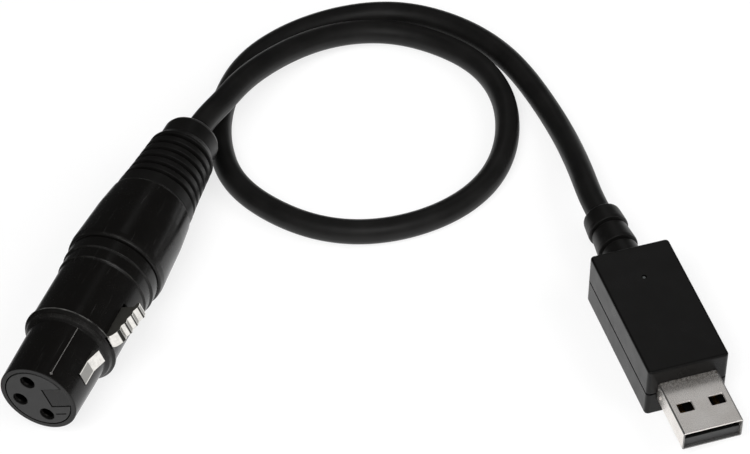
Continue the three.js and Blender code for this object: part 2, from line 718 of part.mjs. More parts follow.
// Contact sleeve with a solder cup behind it
function contactSleeve([x, z]) {
  const floor = sleeveRecess + sleeveDepth;
  const cupStart = insertBack + closeFit;
  const outline = [
    [0, floor], [sleeveBore, floor], [sleeveBore, sleeveRecess], [sleeveRadius, sleeveRecess],
    [sleeveRadius, cupStart], [cupRadius, cupStart], [cupRadius, cupEnd],
    [cupRadius / 2, cupEnd], [cupRadius / 2, cupEnd - cupLength / 2], [0, cupEnd - cupLength / 2],
  ];
  return turned(outline, smallSides).translate([x, 0, z]);
}

// Latch lever, one piece from its hook through its sawtoothed thumb piece to its knuckle
function latchLever() {
  const thumb = thumbOutlineShares.map(([lengthShare, heightShare]) => [
    thumbStart + thumbLength * lengthShare, latchBottom + thumbHeight * heightShare]);
  const strip = acrossX([
    [hookTip, latchTop], [hookRampStart, latchTop], [hookBack - hookBackSlope, latchTop + hookHeight],
    [hookBack, latchTop], [thumbStart, latchTop], ...thumb, [thumbEnd, leverDeck], [pivotPlace, leverDeck],
    [pivotPlace, leverDeck - latchSheet], [thumbEnd, leverDeck - latchSheet], [thumbEnd - latchSheet, latchBottom],
    [hookTip, latchBottom],
  ], latchWidth);
  const knuckle = barAcrossX(knuckleRadius, [-latchWidth / 2, pivotPlace, pivotHeight], latchWidth / 2);
  const bore = barAcrossX(pivotPinRadius + closeFit, [-latchWidth, pivotPlace, pivotHeight], latchWidth,
    tinySides);
  return strip.add(knuckle).subtract(bore);
}

function latchPin() {
  return barAcrossX(pivotPinRadius, [-slotHalf - pivotPinSeat, pivotPlace, pivotHeight],
    slotHalf + pivotPinSeat, tinySides);
}

// Leaf spring: lies on the bore behind the pivot, dips under the knuckle and rises to the lever
function latchSpring() {
  const seat = Math.sqrt(bodyBore ** 2 - (springWidth / 2) ** 2) - closeFit;
  const under = pivotHeight - knuckleRadius - closeFit;
  const reach = leverDeck - latchSheet - seatGap;
  const line = [
    [pivotPlace + springTail, seat], [pivotPlace + springTail / 2, seat], [pivotPlace + knuckleRadius, under],
    [pivotPlace - knuckleRadius, under], [pivotPlace - springLead * 0.85, reach],
    [pivotPlace - springLead, reach - springSheet],
  ];
  const lower = line.map(([y, z]) => [y, z - springSheet]).reverse();
  return acrossX([...line, ...lower], springWidth);
}

// Screwed rear cap
function connectorCap() {
  const wide = capStart + capLength * 0.08;
  const shoulder = capEnd - capShoulderThickness;
  return turned([
    [capBore, capStart], [capFrontRadius, capStart], [capRadius, wide],
    [capRadius - 0.35 * (capRadius - capBackRadius) / 2, capStart + capLength * 0.3],
    [capRadius - 0.45 * (capRadius - capBackRadius), capStart + capLength * 0.68],
    [capBackRadius + stepRise, capEnd - stepSlope], [capBackRadius, capEnd],
    [sleeveBootNeckRadius + slideFit, capEnd], [sleeveBootNeckRadius + slideFit, shoulder],
    [capChamber, shoulder], [capChamber, spigotEnd + seatGap], [capBore, spigotEnd + seatGap],
  ]);
}

// Chuck that grips the jacket, slit from its front
function cordChuck() {
  const back = capEnd - capShoulderThickness - slideFit - sleeveBootFlange - seatGap;
  const front = back - chuckLength;
  const outer = bodyBore - seatGap;
  const body = turned([
    [cordRadius + closeFit, front], [outer - stepRise * 2, front], [outer, front + chuckLength / 3],
    [outer, back], [cordRadius + closeFit, back],
  ]);
  const slitEnd = front + chuckLength * chuckSlitShare;
  const slits = Array.from({ length: chuckSlitCount }, (_, i) => block(
    [-bodyRadius, front - overrun, -chuckSlitWidth / 2], [bodyRadius, slitEnd, chuckSlitWidth / 2])
    .rotate([0, 180 * i / chuckSlitCount, 0]));
  return without(body, slits);
}

// Ribbed boot behind the cap
function connectorBoot() {
  const start = capEnd + slideFit;
  const end = start + sleeveBootLength;
  const main = sleeveBootOutlineShares.map(([radiusShare, lengthShare]) => [
    capBackRadius * radiusShare, start + sleeveBootLength * lengthShare]);
  const stations = Array.from({ length: sleeveBootGrooveCount }, (_, i) => (
    start + sleeveBootGroovePlace + i * sleeveBootGroovePitch));
  const flangeBack = capEnd - capShoulderThickness - slideFit;
  const flangeRadius = capChamber - slideFit;
  return turned([
    [cordRadius + closeFit, flangeBack - sleeveBootFlange], [flangeRadius, flangeBack - sleeveBootFlange],
    [flangeRadius, flangeBack], [sleeveBootNeckRadius, flangeBack], [sleeveBootNeckRadius, start],
    ...grooved(main, stations, sleeveBootGrooveWidth, sleeveBootGrooveDepth),
    [cordRadius + closeFit, end],
  ]);
}

function roundConnector() {
  const place = new THREE.Group();
  place.position.set(connectorX, connectorY, capRadius);
  place.rotation.z = radians(connectorHeadingDegrees);
  const turn = new THREE.Group();
  turn.rotation.y = radians(latchTurnDegrees);
  place.add(turn);
  addPiece(turn, 'connector_shell', connectorShell(), finishes.blackCoat);
  addPiece(turn, 'connector_insert', connectorInsert(), finishes.insertPlastic);
  sleevePlaces.forEach((at, i) => addPiece(turn, `contact_sleeve_${i + 1}`, contactSleeve(at), finishes.gold));
  addPiece(turn, 'latch_lever', latchLever(), finishes.nickel);
  addPiece(turn, 'latch_pin', latchPin(), finishes.springSteel);
  addPiece(turn, 'latch_spring', latchSpring(), finishes.springSteel);
  addPiece(turn, 'connector_cap', connectorCap(), finishes.blackCoat);
  addPiece(turn, 'cord_chuck', cordChuck(), finishes.insertPlastic);
  addPiece(turn, 'connector_boot', connectorBoot(), finishes.bootRubber);
  const bootEnd = capEnd + slideFit + sleeveBootLength;
  addPiece(turn, 'connector_jacket', barAlongY(cordRadius, [0, jacketStart, 0], bootEnd, cordSides * 2),
    finishes.cordJacket);
  const cups = sleevePlaces.map(([x, z]) => [x, cupEnd + closeFit, z]);
  const sleeves = [finishes.redSleeve, finishes.bareCopper, finishes.whiteSleeve];
  conductors(jacketStart - seatGap, cups, 0).forEach((wire, i) => addPiece(turn,
    `connector_conductor_${i + 1}`, wire, sleeves[i]));
  return place;
}

const group = new THREE.Group();
group.add(plugEnd());
addPiece(group, 'cord', tube(cordRoute, cordRadius, cordSides, cordSteps), finishes.cordJacket);
group.add(roundConnector());

export default group;
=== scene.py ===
import logging
import math
from dataclasses import dataclass
from enum import Enum, IntEnum

import bmesh
import bpy
import numpy as np
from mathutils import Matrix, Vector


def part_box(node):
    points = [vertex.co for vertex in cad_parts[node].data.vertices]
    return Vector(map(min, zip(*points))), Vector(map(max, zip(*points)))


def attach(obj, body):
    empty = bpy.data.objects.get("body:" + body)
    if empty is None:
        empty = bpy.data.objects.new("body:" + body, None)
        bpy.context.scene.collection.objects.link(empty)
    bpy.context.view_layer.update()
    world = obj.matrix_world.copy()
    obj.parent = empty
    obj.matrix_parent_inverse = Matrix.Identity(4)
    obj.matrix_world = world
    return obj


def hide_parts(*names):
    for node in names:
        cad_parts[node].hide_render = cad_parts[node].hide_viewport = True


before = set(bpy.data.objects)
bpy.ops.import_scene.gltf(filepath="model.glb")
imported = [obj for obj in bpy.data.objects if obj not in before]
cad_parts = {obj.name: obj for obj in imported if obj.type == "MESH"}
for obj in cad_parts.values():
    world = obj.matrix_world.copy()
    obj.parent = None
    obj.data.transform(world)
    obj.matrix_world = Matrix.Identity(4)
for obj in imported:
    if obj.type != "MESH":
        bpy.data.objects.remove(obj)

log = logging.getLogger("adapter_lead")
logging.basicConfig(level=logging.INFO, format="%(message)s")

MM = 0.001
SAME_SPOT = 2e-7
SAME_POINT = 1e-4
LEAST_SLOPE = 1e-3
LEAST_RADIUS = 0.03
CURVE_SHARE = 0.44
HOLD_SHARE = 0.48

Array = np.ndarray
Rows = Array | list[list[float]]
Faces = list[list[int]]
Surface = tuple[Array, Faces]
Pair = tuple[float, float]
Triple = tuple[float, float, float]
Corners = tuple[Triple, Triple]
Colour = tuple[float, float, float, float]
Piece = bpy.types.Object
Socket = bpy.types.NodeSocket
Material = bpy.types.Material
Paints = dict[str, Material]


class Body(Enum):
    """The two bodies that pieces ride on."""

    INTERFACE = "interface"
    LATCH = "latch"


class Axis(IntEnum):
    """The axes, by their place in a point."""

    X = 0
    Y = 1
    Z = 2


class Carving(Enum):
    """What a carving shape does to a piece."""

    CUT = "DIFFERENCE"
    JOIN = "UNION"


@dataclass(frozen=True)
class Place:
    """Where a sub-assembly lies: origin in millimetres, heading about Z, turn about its own length."""

    origin: Triple = (0.0, 0.0, 0.0)
    heading: float = 0.0
    turn: float = 0.0

    def to_world(self, points: Array) -> Array:
        """Send points to the world: p' = 0.001 (Rz(heading) Ry(turn) p + origin).

        Args:
            points: Millimetre points, one a row.

        Returns:
            The world points in metres.
        """
        c, s = math.cos(math.radians(self.heading)), math.sin(math.radians(self.heading))
        k, m = math.cos(math.radians(self.turn)), math.sin(math.radians(self.turn))
        about_z = np.array([[c, -s, 0.0], [s, c, 0.0], [0.0, 0.0, 1.0]])
        about_y = np.array([[k, 0.0, m], [0.0, 1.0, 0.0], [-m, 0.0, k]])
        return MM * (points @ (about_z @ about_y).T + np.array(self.origin))

    def way(self, axis: Axis) -> Array:
        """Unit vector of one of its axes in the world."""
        return self.to_world(np.eye(3)[axis:axis + 1])[0] / MM - np.array(self.origin)


WORLD = Place()
CONNECTOR = Place((-119.1, 14.5, 10.05), -37.97, 66.0)
MOULD_LINE = Place(CONNECTOR.origin, CONNECTOR.heading, 21.5)
LATCH_PIN = (30.1, 7.65)
PLUG_HEIGHT = 6.0
CORD_HEIGHT = 6.3


# Shapes as numpy grids

def rounded_outline(corners: Rows, closed: bool = True, steps: int = 5, hold: float = 0.08) -> Array:
    """Round each corner P of an outline by the curve (1-w)^2 A + 2w(1-w) P + w^2 B, 0 <= w <= 1.

    A and B lie on the two edges, radius / tan(half the corner's angle) away from P. A point a little
    further along each edge keeps the flat beside the corner flat when it is shaded. Both stay within
    a share of the shorter edge.

    Args:
        corners: Rows of x, y and corner radius.
        closed: Whether the last corner joins the first.
        steps: Steps of each rounded corner.
        hold: How far past the curve the holding points lie.

    Returns:
        Rows of x and y.
    """
    table = np.asarray(corners, dtype=float)
    spot, radius = table[:, :2], table[:, 2]
    edges = np.stack([np.roll(spot, 1, axis=0), np.roll(spot, -1, axis=0)]) - spot
    lengths = np.linalg.norm(edges, axis=2)
    ways, room = edges / lengths[..., None], lengths.min(axis=0)
    angle = np.arccos(np.clip((ways[0] * ways[1]).sum(axis=1), -1.0, 1.0))
    reach = np.minimum(radius / np.maximum(np.tan(angle / 2.0), LEAST_SLOPE), CURVE_SHARE * room)
    held = np.minimum(reach + hold, HOLD_SHARE * room)
    start, finish = (spot + reach[:, None] * ways)[:, :, None]
    first, last = (spot + held[:, None] * ways)[:, :, None]
    w = np.linspace(0.0, 1.0, steps + 1)[:, None]
    curve = (1 - w) ** 2 * start + 2 * w * (1 - w) * spot[:, None] + w ** 2 * finish
    points = np.concatenate([first, curve, last], axis=1)
    if closed:
        points = points.reshape(-1, 2)
    else:
        points = np.concatenate([spot[:1], points[1:-1].reshape(-1, 2), spot[-1:]])
    fresh = np.linalg.norm(points - np.roll(points, 1, axis=0), axis=1) > SAME_POINT
    fresh[0] |= not closed
    return points[fresh]


def grid_faces(rows: int, columns: int, wrap_rows: bool) -> Faces:
    """Quads (i, j) (i, j+1) (i+1, j+1) (i+1, j) of a grid whose columns wrap round.

    Args:
        rows: Number of rings.
        columns: Points in each ring.
        wrap_rows: Whether the last ring joins the first.

    Returns:
        The faces as lists of point numbers.
    """
    i, j = np.meshgrid(np.arange(rows if wrap_rows else rows - 1), np.arange(columns), indexing="ij")
    right, below = (j + 1) % columns, (i + 1) % rows
    corners = [i * columns + j, i * columns + right, below * columns + right, below * columns + j]
    return np.stack(corners, axis=-1).reshape(-1, 4).tolist()


def capped_faces(rows: int, columns: int) -> Faces:
    """Faces of a grid of rings, closed by a flat face on its first and its last ring."""
    caps = [list(range(columns))[::-1], list(range((rows - 1) * columns, rows * columns))]
    return grid_faces(rows, columns, False) + caps


def moved(surface: Surface, shift: Triple | Array) -> Surface:
    """Shape carried along a vector: p' = p + shift."""
    return surface[0] + np.asarray(shift), surface[1]


def turned(profile: Rows, sides: int = 144, centre: Pair = (0.0, 0.0)) -> Surface:
    """Surface of revolution along Y: x = r sin a + x0, y = t, z = r cos a + z0.

    Args:
        profile: Rows of radius r and station t; it closes on itself, or on the axis at both ends.
        sides: Facets around.
        centre: Where the axis passes, as x0 and z0.

    Returns:
        Points and faces.
    """
    table = np.asarray(profile, dtype=float)
    a = 2.0 * math.pi * np.arange(sides) / sides
    r, t = table[:, :1], table[:, 1:2]
    x = r * np.sin(a) + centre[0]
    z = r * np.cos(a) + centre[1]
    points = np.stack([x, np.broadcast_to(t, x.shape), z], axis=-1).reshape(-1, 3)
    on_axis = table[0, 0] == 0.0 and table[-1, 0] == 0.0
    return points, grid_faces(len(table), sides, not on_axis)


def ringed(half_a: float, half_b: float, corner: float, profile: Rows, capped: bool = True,
           steps: int = 6, hold: float = 0.12) -> Surface:
    """Carry a profile of inset d and height h round a rounded rectangle.

    Its corner arcs are (a, b) = centre + (corner - d)(cos q, sin q), and its sides lie d inside
    the full size.

    Args:
        half_a: Half the width along the first axis.
        half_b: Half the width along the second axis.
        corner: Corner radius of the full size.
        profile: Rows of inset and height.
        capped: Close the first and last ring with flat faces; otherwise the profile closes on itself.
        steps: Steps of each corner arc.
        hold: How far past each arc the holding points lie.

    Returns:
        Points as a, b, height, and faces.
    """
    table = np.asarray(profile, dtype=float)
    inset = table[:, :1]
    radius = np.maximum(corner - inset, LEAST_RADIUS)
    arcs = []
    for quarter, (sign_a, sign_b) in enumerate([(1, 1), (-1, 1), (-1, -1), (1, -1)]):
        q = np.linspace(0.0, math.pi / 2.0, steps + 1) + quarter * math.pi / 2.0
        a = sign_a * (half_a - inset - radius) + radius * np.cos(q)
        b = sign_b * (half_b - inset - radius) + radius * np.sin(q)
        a = np.hstack([a[:, :1] + hold * math.sin(q[0]), a, a[:, -1:] - hold * math.sin(q[-1])])
        b = np.hstack([b[:, :1] - hold * math.cos(q[0]), b, b[:, -1:] + hold * math.cos(q[-1])])
        arcs.append(np.stack([a, b], -1))
    ring = np.concatenate(arcs, axis=1)
    rows, columns = ring.shape[:2]
    height = np.broadcast_to(table[:, 1:2, None], (rows, columns, 1))
    faces = capped_faces(rows, columns) if capped else grid_faces(rows, columns, True)
    return np.concatenate([ring, height], axis=-1).reshape(-1, 3), faces


def along_y(surface: Surface, height: float) -> Surface:
    """Lay a ringed shape along Y: (a, b, h) becomes (a, h, b + height)."""
    return moved((surface[0][:, [0, 2, 1]], surface[1]), (0.0, 0.0, height))


def block(low: Triple, high: Triple, corner: float = 0.05) -> Surface:
    """Block between two opposite corners, its upright edges rounded.

    Args:
        low: Lowest corner.
        high: Highest corner.
        corner: Radius of the upright edges.

    Returns:
        Points and faces.
    """
    a, b, height = (np.array(high) - np.array(low)) / 2.0
    shape = ringed(a, b, corner, [[0.0, -height], [0.0, height]], steps=2, hold=0.01)
    return moved(shape, (np.array(low) + np.array(high)) / 2.0)


def rod(radius: float, start: Triple, axis: Axis, length: float, sides: int = 48) -> Surface:
    """Round rod: a circle of the radius carried along one axis.

    Args:
        radius: Its radius.
        start: Middle of its first end.
        axis: The axis that it runs along.
        length: How long it is.
        sides: Facets around.

    Returns:
        Points and faces.
    """
    points, faces = turned([[0.0, 0.0], [radius, 0.0], [radius, length], [0.0, length]], sides)
    order = ([1, 0, 2], [0, 1, 2], [0, 2, 1])[axis]
    return moved((points[:, order], faces), start)


def prism(outline: Rows, width: float) -> Surface:
    """Outline in Y and Z carried straight across X.

    Args:
        outline: Rows of y and z, in order round the shape.
        width: Its full width.

    Returns:
        Points and faces.
    """
    sides = np.repeat([-width / 2.0, width / 2.0], len(outline))[:, None]
    return np.hstack([sides, np.vstack([outline, outline])]), capped_faces(2, len(outline))


def grooved(outline: Array, stations: Array, width: float, depth: float, edge: float) -> Array:
    """Cut a flat-bottomed groove into an outline at each station.

    A groove's points are (r(y), y) at its two edges and (r(y) - depth, y) a quarter of its width
    from its middle, with r(y) read from the outline.

    Args:
        outline: Rows of radius, station and corner radius, its stations rising.
        stations: Middles of the grooves.
        width: Width of a groove.
        depth: Depth of a groove.
        edge: Corner radius of a groove's edges.

    Returns:
        The outline with its grooves.
    """
    y = (stations[:, None] + np.array([-0.5, -0.25, 0.25, 0.5]) * width).ravel()
    drop = np.tile([0.0, depth, depth, 0.0], len(stations))
    cut = np.stack([np.interp(y, outline[:, 1], outline[:, 0]) - drop, y, np.full_like(y, edge)], axis=1)
    clear = (np.abs(outline[:, 1:2] - stations[None, :]) > width / 2.0).all(axis=1)
    every = np.concatenate([outline[clear], cut])
    return every[np.argsort(every[:, 1], kind="stable")]


# Blender objects

def add_object(name: str, data: bpy.types.ID, place: Triple = (0.0, 0.0, 0.0),
               turn: Triple = (0.0, 0.0, 0.0)) -> Piece:
    """Put an object with the given data into the scene.

    Args:
        name: Its name.
        data: Its mesh, lamp or camera.
        place: Where it stands, in metres.
        turn: Its turn in radians.

    Returns:
        The object.
    """
    made = bpy.data.objects.new(name, data)
    made.location, made.rotation_euler = place, turn
    bpy.context.scene.collection.objects.link(made)
    return made


def close_and_smooth(mesh: bpy.types.Mesh, sharp: float = 32.0) -> None:
    """Merge doubled points, turn every face outwards and shade it smooth between sharp edges.

    Args:
        mesh: The mesh, changed in place.
        sharp: Angle in degrees past which an edge is sharp.
    """
    work = bmesh.new()
    work.from_mesh(mesh)
    bmesh.ops.remove_doubles(work, verts=work.verts, dist=SAME_SPOT)
    bmesh.ops.recalc_face_normals(work, faces=work.faces)
    work.to_mesh(mesh)
    work.free()
    mesh.polygons.foreach_set("use_smooth", np.ones(len(mesh.polygons), dtype=bool))
    mesh.set_sharp_from_angle(angle=math.radians(sharp))
    mesh.update()


def make_piece(name: str, surface: Surface, place: Place = WORLD) -> Piece:
    """Put a surface into the scene as an object at the origin.

    Args:
        name: The piece's name.
        surface: Its points and faces, in the place's own axes.
        place: Where it lies.

    Returns:
        The new object.
    """
    mesh = bpy.data.meshes.new(name)
    mesh.from_pydata(place.to_world(surface[0]).tolist(), [], surface[1])
    close_and_smooth(mesh)
    return add_object(name, mesh)


def apply_modifiers(piece: Piece) -> None:
    """Keep what the modifiers make as the piece's own mesh, and take them off.

    Args:
        piece: The piece, changed in place.
    """
    graph = bpy.context.evaluated_depsgraph_get()
    made = bpy.data.meshes.new_from_object(piece.evaluated_get(graph))
    old = piece.data
    piece.modifiers.clear()
    piece.data = made
    made.name = piece.name
    bpy.data.meshes.remove(old)
    close_and_smooth(made)


def carve(piece: Piece, carving: Carving, shapes: list[Surface], place: Place = WORLD) -> None:
    """Cut shapes from a piece, or join them to it.

    Args:
        piece: The piece, changed in place.
        carving: Cut or join.
        shapes: The shapes, in the place's own axes.
        place: Where they lie.
    """
    tools = [make_piece(f"{piece.name}_tool_{i}", shape, place) for i, shape in enumerate(shapes)]
    for tool in tools:
        modifier = piece.modifiers.new("carve", "BOOLEAN")
        modifier.operation, modifier.solver, modifier.object = carving.value, "EXACT", tool
    apply_modifiers(piece)
    for tool in tools:
        mesh = tool.data
        bpy.data.objects.remove(tool)
        bpy.data.meshes.remove(mesh)


def soften_edges(piece: Piece, width: float, angle: float) -> None:
    """Round the sharp edges of a carved piece.

    Args:
        piece: The piece, changed in place.
        width: Width of the rounding in millimetres.
        angle: Edges sharper than this many degrees are rounded.
    """
    modifier = piece.modifiers.new("edges", "BEVEL")
    modifier.width, modifier.segments = width * MM, 2
    modifier.limit_method, modifier.angle_limit = "ANGLE", math.radians(angle)
    apply_modifiers(piece)


# Finishes

def grey(level: float, warmth: float = 0.0) -> Colour:
    """Linear colour of a grey level, warmer where warmth is above nothing."""
    return (level * (1 + warmth), level, level * (1 - warmth), 1.0)


class Painter:
    """Adds shader nodes to one material or world and links them."""

    def __init__(self, name: str, world: bool = False) -> None:
        """Start an empty material or world.

        Args:
            name: Its name.
            world: Whether it is a world.
        """
        self.made = (bpy.data.worlds if world else bpy.data.materials).new(name)
        self.made.use_nodes = True
        self.tree = self.made.node_tree
        self.tree.nodes.clear()
        self.source = self.add("ShaderNodeTexCoord")
        self.here = self.source.outputs["Object"]

    def add(self, kind: str, inputs: dict | None = None, **settings: object) -> bpy.types.Node:
        """Add one node.

        Args:
            kind: Its type.
            inputs: Socket names or numbers, each with a value, with the socket that feeds it, or with
                None to leave it alone.
            **settings: Its other properties.

        Returns:
            The node.
        """
        node = self.tree.nodes.new(kind)
        for key, value in settings.items():
            setattr(node, key, value)
        for key, value in (inputs or {}).items():
            if isinstance(value, Socket):
                self.tree.links.new(value, node.inputs[key])
            elif value is not None:
                node.inputs[key].default_value = value
        return node

    def noise(self, size: float, detail: float = 3.0, roughness: float = 0.55,
              where: Socket | None = None) -> Socket:
        """Noise whose spots are about as large as size in millimetres, in metre coordinates."""
        place = self.here if where is None else where
        return self.add("ShaderNodeTexNoise", {"Vector": place, "Scale": 1.0 / (size * MM), "Detail": detail,
                                               "Roughness": roughness}).outputs[0]

    def spread(self, value: Socket, low: float, high: float, to_low: float = 0.0,
               to_high: float = 1.0) -> Socket:
        """Map the span from low to high onto the span from to_low to to_high, held at its ends."""
        return self.add("ShaderNodeMapRange", {0: value, 1: low, 2: high, 3: to_low, 4: to_high}).outputs[0]

    def blend(self, share: Socket, first: Colour | Socket, second: Colour | Socket) -> Socket:
        """Colour between two colours by a share."""
        return self.add("ShaderNodeMix", {0: share, 6: first, 7: second}, data_type="RGBA").outputs[2]

    def calc(self, operation: str, first: Socket, second: Socket | float = 0.0,
             clamp: bool = False) -> Socket:
        """Result of one arithmetic step on two values, held between 0 and 1 if clamp is set."""
        return self.add("ShaderNodeMath", {0: first, 1: second}, operation=operation,
                        use_clamp=clamp).outputs[0]

    def stretched(self, size: Triple, turn: float = 0.0, kind: str = "Object") -> Socket:
        """Coordinates in which a spot has the given size along each axis.

        Args:
            size: Size of a unit along each axis, in the coordinates' own unit.
            turn: Turn of the pattern about Z in degrees.
            kind: Which coordinates are read.

        Returns:
            The vector socket.
        """
        aligned = self.add("ShaderNodeMapping", {"Vector": self.source.outputs[kind],
                                                 "Rotation": (0.0, 0.0, math.radians(turn))},
                           vector_type="TEXTURE").outputs[0]
        return self.add("ShaderNodeMapping", {"Vector": aligned,
                                              "Scale": tuple(1.0 / v for v in size)}).outputs[0]

    def along(self, place: Place, axis: Axis) -> Socket:
        """Distance from a place's origin along one of its axes: (p - origin) . axis.

        Args:
            place: The place.
            axis: Which of its axes.

        Returns:
            The distance's socket, in millimetres.
        """
        way = place.way(axis)
        dot = self.add("ShaderNodeVectorMath", {0: self.here, 1: tuple((way / MM).tolist())},
                       operation="DOT_PRODUCT").outputs[1]
        return self.calc("SUBTRACT", dot, float(np.dot(way, place.origin)))

    def below(self, axis: Axis, limit: float) -> Socket:
        """Share that is 1 where a coordinate lies under a limit in millimetres and 0 over it."""
        return self.spread(self.along(WORLD, axis), limit - 0.02, limit + 0.02, 1.0, 0.0)

    def bands(self, start: float, reach: float, spans: tuple[Triple, ...], ease: float) -> Socket:
        """Share by the station along the connector: a level inside each span and 0 outside them.

        Args:
            start: Lowest station that is told apart, in millimetres.
            reach: How far the stations run from there.
            spans: First and last station of each band, and its level.
            ease: How far outside a span its level falls to 0.

        Returns:
            The share's socket.
        """
        where = self.spread(self.along(CONNECTOR, Axis.Y), start, start + reach)
        ramp = self.add("ShaderNodeValToRGB", {0: where})
        stops = ramp.color_ramp.elements
        stops[0].color = stops[1].color = grey(0.0)
        for low, high, level in spans:
            for station, share in ((low - ease, 0.0), (low, level), (high, level), (high + ease, 0.0)):
                stops.new(max(station - start, 0.0) / reach).color = grey(share)
        return ramp.outputs[0]

    def bump(self, height: Socket, depth: float, strength: float = 1.0,
             under: Socket | None = None) -> Socket:
        """Normal raised by a height map, depth in millimetres, over another normal if one is given."""
        return self.add("ShaderNodeBump", {"Height": height, "Distance": depth * MM, "Strength": strength,
                                           "Normal": under}).outputs[0]

    def finish(self, colour: Socket, rough: Socket, normal: Socket | None, others: dict) -> Material:
        """End in a principled surface.

        Args:
            colour: Its base colour.
            rough: Its roughness.
            normal: Its normal, if that is shaped.
            others: Its other inputs by name.

        Returns:
            The material.
        """
        shader = self.add("ShaderNodeBsdfPrincipled", {"Base Color": colour, "Roughness": rough,
                                                       "Normal": normal, **others})
        self.add("ShaderNodeOutputMaterial", {"Surface": shader.outputs[0]})
        return self.made


@dataclass(frozen=True)
class Moulded:
    """Moulded plastic, rubber or coated metal: fine grain, faint clouding, a few rubbed spots.

    Sizes and depths are in millimetres. Above the height lit_below, where it is set, the colour is painted
    shade: the dark colour shaded.
    """

    name: str
    colour: Colour
    rubbed: Colour
    roughness: float
    grain: float = 0.12
    grain_depth: float = 0.006
    wave_depth: float = 0.01
    rubbed_share: float = 0.35
    specular: float = 0.5
    ior: float = 1.46
    lit_below: float | None = None
    shaded: Colour = grey(0.002)

    def coloured(self, paint: Painter, cloud: Socket) -> tuple[Socket, Socket]:
        """Rub the colour by clouds, scuffs and flecks, paint shade above lit_below, and lay slow waves under
        the grain.

        Args:
            paint: The material's painter.
            cloud: Slow clouds from 0 to 1.

        Returns:
            The colour and the waves' normal.
        """
        fleck = paint.noise(0.45, 5.0, 0.65)
        scuff = paint.noise(1.2, 4.0, where=paint.stretched((4.0, 0.35, 1.0), 25.0))
        worn = paint.calc("MULTIPLY", paint.spread(scuff, 0.6, 0.8), paint.spread(fleck, 0.45, 0.75))
        share = paint.calc("ADD", paint.spread(cloud, 0.3, 0.8, 0.0, self.rubbed_share), worn, True)
        colour = paint.blend(share, self.colour, self.rubbed)
        # Painted shade: above the height lit_below the colour turns to the dark shaded colour.
        if self.lit_below is not None:
            colour = paint.blend(paint.below(Axis.Z, self.lit_below), self.shaded, colour)
        return colour, paint.bump(cloud, self.wave_depth, 0.6)

    def material(self) -> Material:
        """Build the node material: colour and gloss by slow clouds, fine grain over the waves.

        Returns:
            The material.
        """
        paint = Painter(self.name)
        cloud = paint.noise(3.5, 4.0)
        colour, waves = self.coloured(paint, cloud)
        rough = paint.spread(cloud, 0.25, 0.75, self.roughness - 0.05, self.roughness + 0.06)
        normal = paint.bump(paint.noise(self.grain, 2.0), self.grain_depth, 0.8, waves)
        return paint.finish(colour, rough, normal, {"Specular IOR Level": self.specular, "IOR": self.ior})


@dataclass(frozen=True)
class Coat(Moulded):
    """Black coat of the round connector: pale bands along its edges that are rubbed wear and painted
    highlight, with faint pale streaks of painted highlight along it.

    Each edge has the first and last station of its pale band and the band's share of the pale colour.
    """

    wear_and_highlight: Colour = (0.42, 0.42, 0.4, 1.0)
    highlight_streak_share: float = 0.035
    reach: float = 60.0
    # Pale edge bands at the rim, collar, ring steps and cap edges: rubbed wear and painted highlight.
    edges: tuple[Triple, ...] = (
        (0.03, 0.16, 0.9), (13.2, 13.9, 0.02), (14.68, 14.92, 0.3), (29.26, 29.38, 0.06),
        (32.14, 32.26, 0.06), (35.25, 35.6, 0.04), (52.72, 52.92, 0.12))

    def coloured(self, paint: Painter, cloud: Socket) -> tuple[Socket, Socket]:
        """Rub the coat by clouds, and lay pale long streaks and pale edge bands that noise breaks up: the
        streaks are painted highlight, the edge bands rubbed wear and painted highlight.

        Args:
            paint: The material's painter.
            cloud: Slow clouds from 0 to 1.

        Returns:
            The colour and the streaks' normal.
        """
        streak = paint.noise(1.0, 4.0, where=paint.stretched((0.35, 9.0, 0.35), CONNECTOR.heading))
        broken = paint.spread(paint.noise(3.0, 4.0, 0.6), 0.4, 0.7, 0.1)
        edge = paint.calc("MULTIPLY", paint.bands(0.0, self.reach, self.edges, 0.05), broken)
        colour = paint.blend(paint.spread(cloud, 0.3, 0.8, 0.0, self.rubbed_share), self.colour, self.rubbed)
        # Painted highlight: pale streaks along the axis, and pale edge bands that are also rubbed wear.
        colour = paint.blend(paint.spread(streak, 0.62, 0.8, 0.0, self.highlight_streak_share), colour, self.wear_and_highlight)
        return paint.blend(edge, colour, self.wear_and_highlight), paint.bump(streak, self.wave_depth, 0.5)


@dataclass(frozen=True)
class Plated:
    """Bright metal: drawn lines along one direction, faint stains and hairline scratches."""

    name: str
    colour: Colour
    stained: Colour
    roughness: float
    line_depth: float = 0.002
    stain: float = 0.5
    dullness: float = 0.03
    metallic: float = 1.0
    scratch_turn: float = 37.0

    def coloured(self, paint: Painter, grain: Socket) -> Socket:
        """Stain the metal by slow clouds and by its grain.

        Args:
            paint: The material's painter.
            grain: Fine grain from 0 to 1.

        Returns:
            The colour.
        """
        cloud = paint.spread(paint.noise(5.0, 3.0, 0.5), 0.35, 0.75, 0.0, self.stain)
        tone = paint.calc("ADD", cloud, paint.spread(grain, 0.4, 0.7, 0.0, 0.5), True)
        return paint.blend(tone, self.colour, self.stained)

    def material(self) -> Material:
        """Build the node material: colour and gloss by its grain, scratches in the gloss, drawn lines.

        Returns:
            The material.
        """
        paint = Painter(self.name)
        lines = paint.noise(1.0, where=paint.stretched((0.06, 5.0, 0.06)))
        grain = paint.noise(0.14, 3.0, 0.7)
        scratch = paint.noise(1.0, 2.0, where=paint.stretched((6.0, 0.05, 1.0), self.scratch_turn))
        gloss = paint.spread(grain, 0.35, 0.65, self.roughness - 0.03, self.roughness + self.dullness)
        rough = paint.calc("ADD", gloss, paint.spread(scratch, 0.66, 0.72, 0.0, 0.06))
        return paint.finish(self.coloured(paint, grain), rough, paint.bump(lines, self.line_depth, 0.7),
                            {"Metallic": self.metallic})


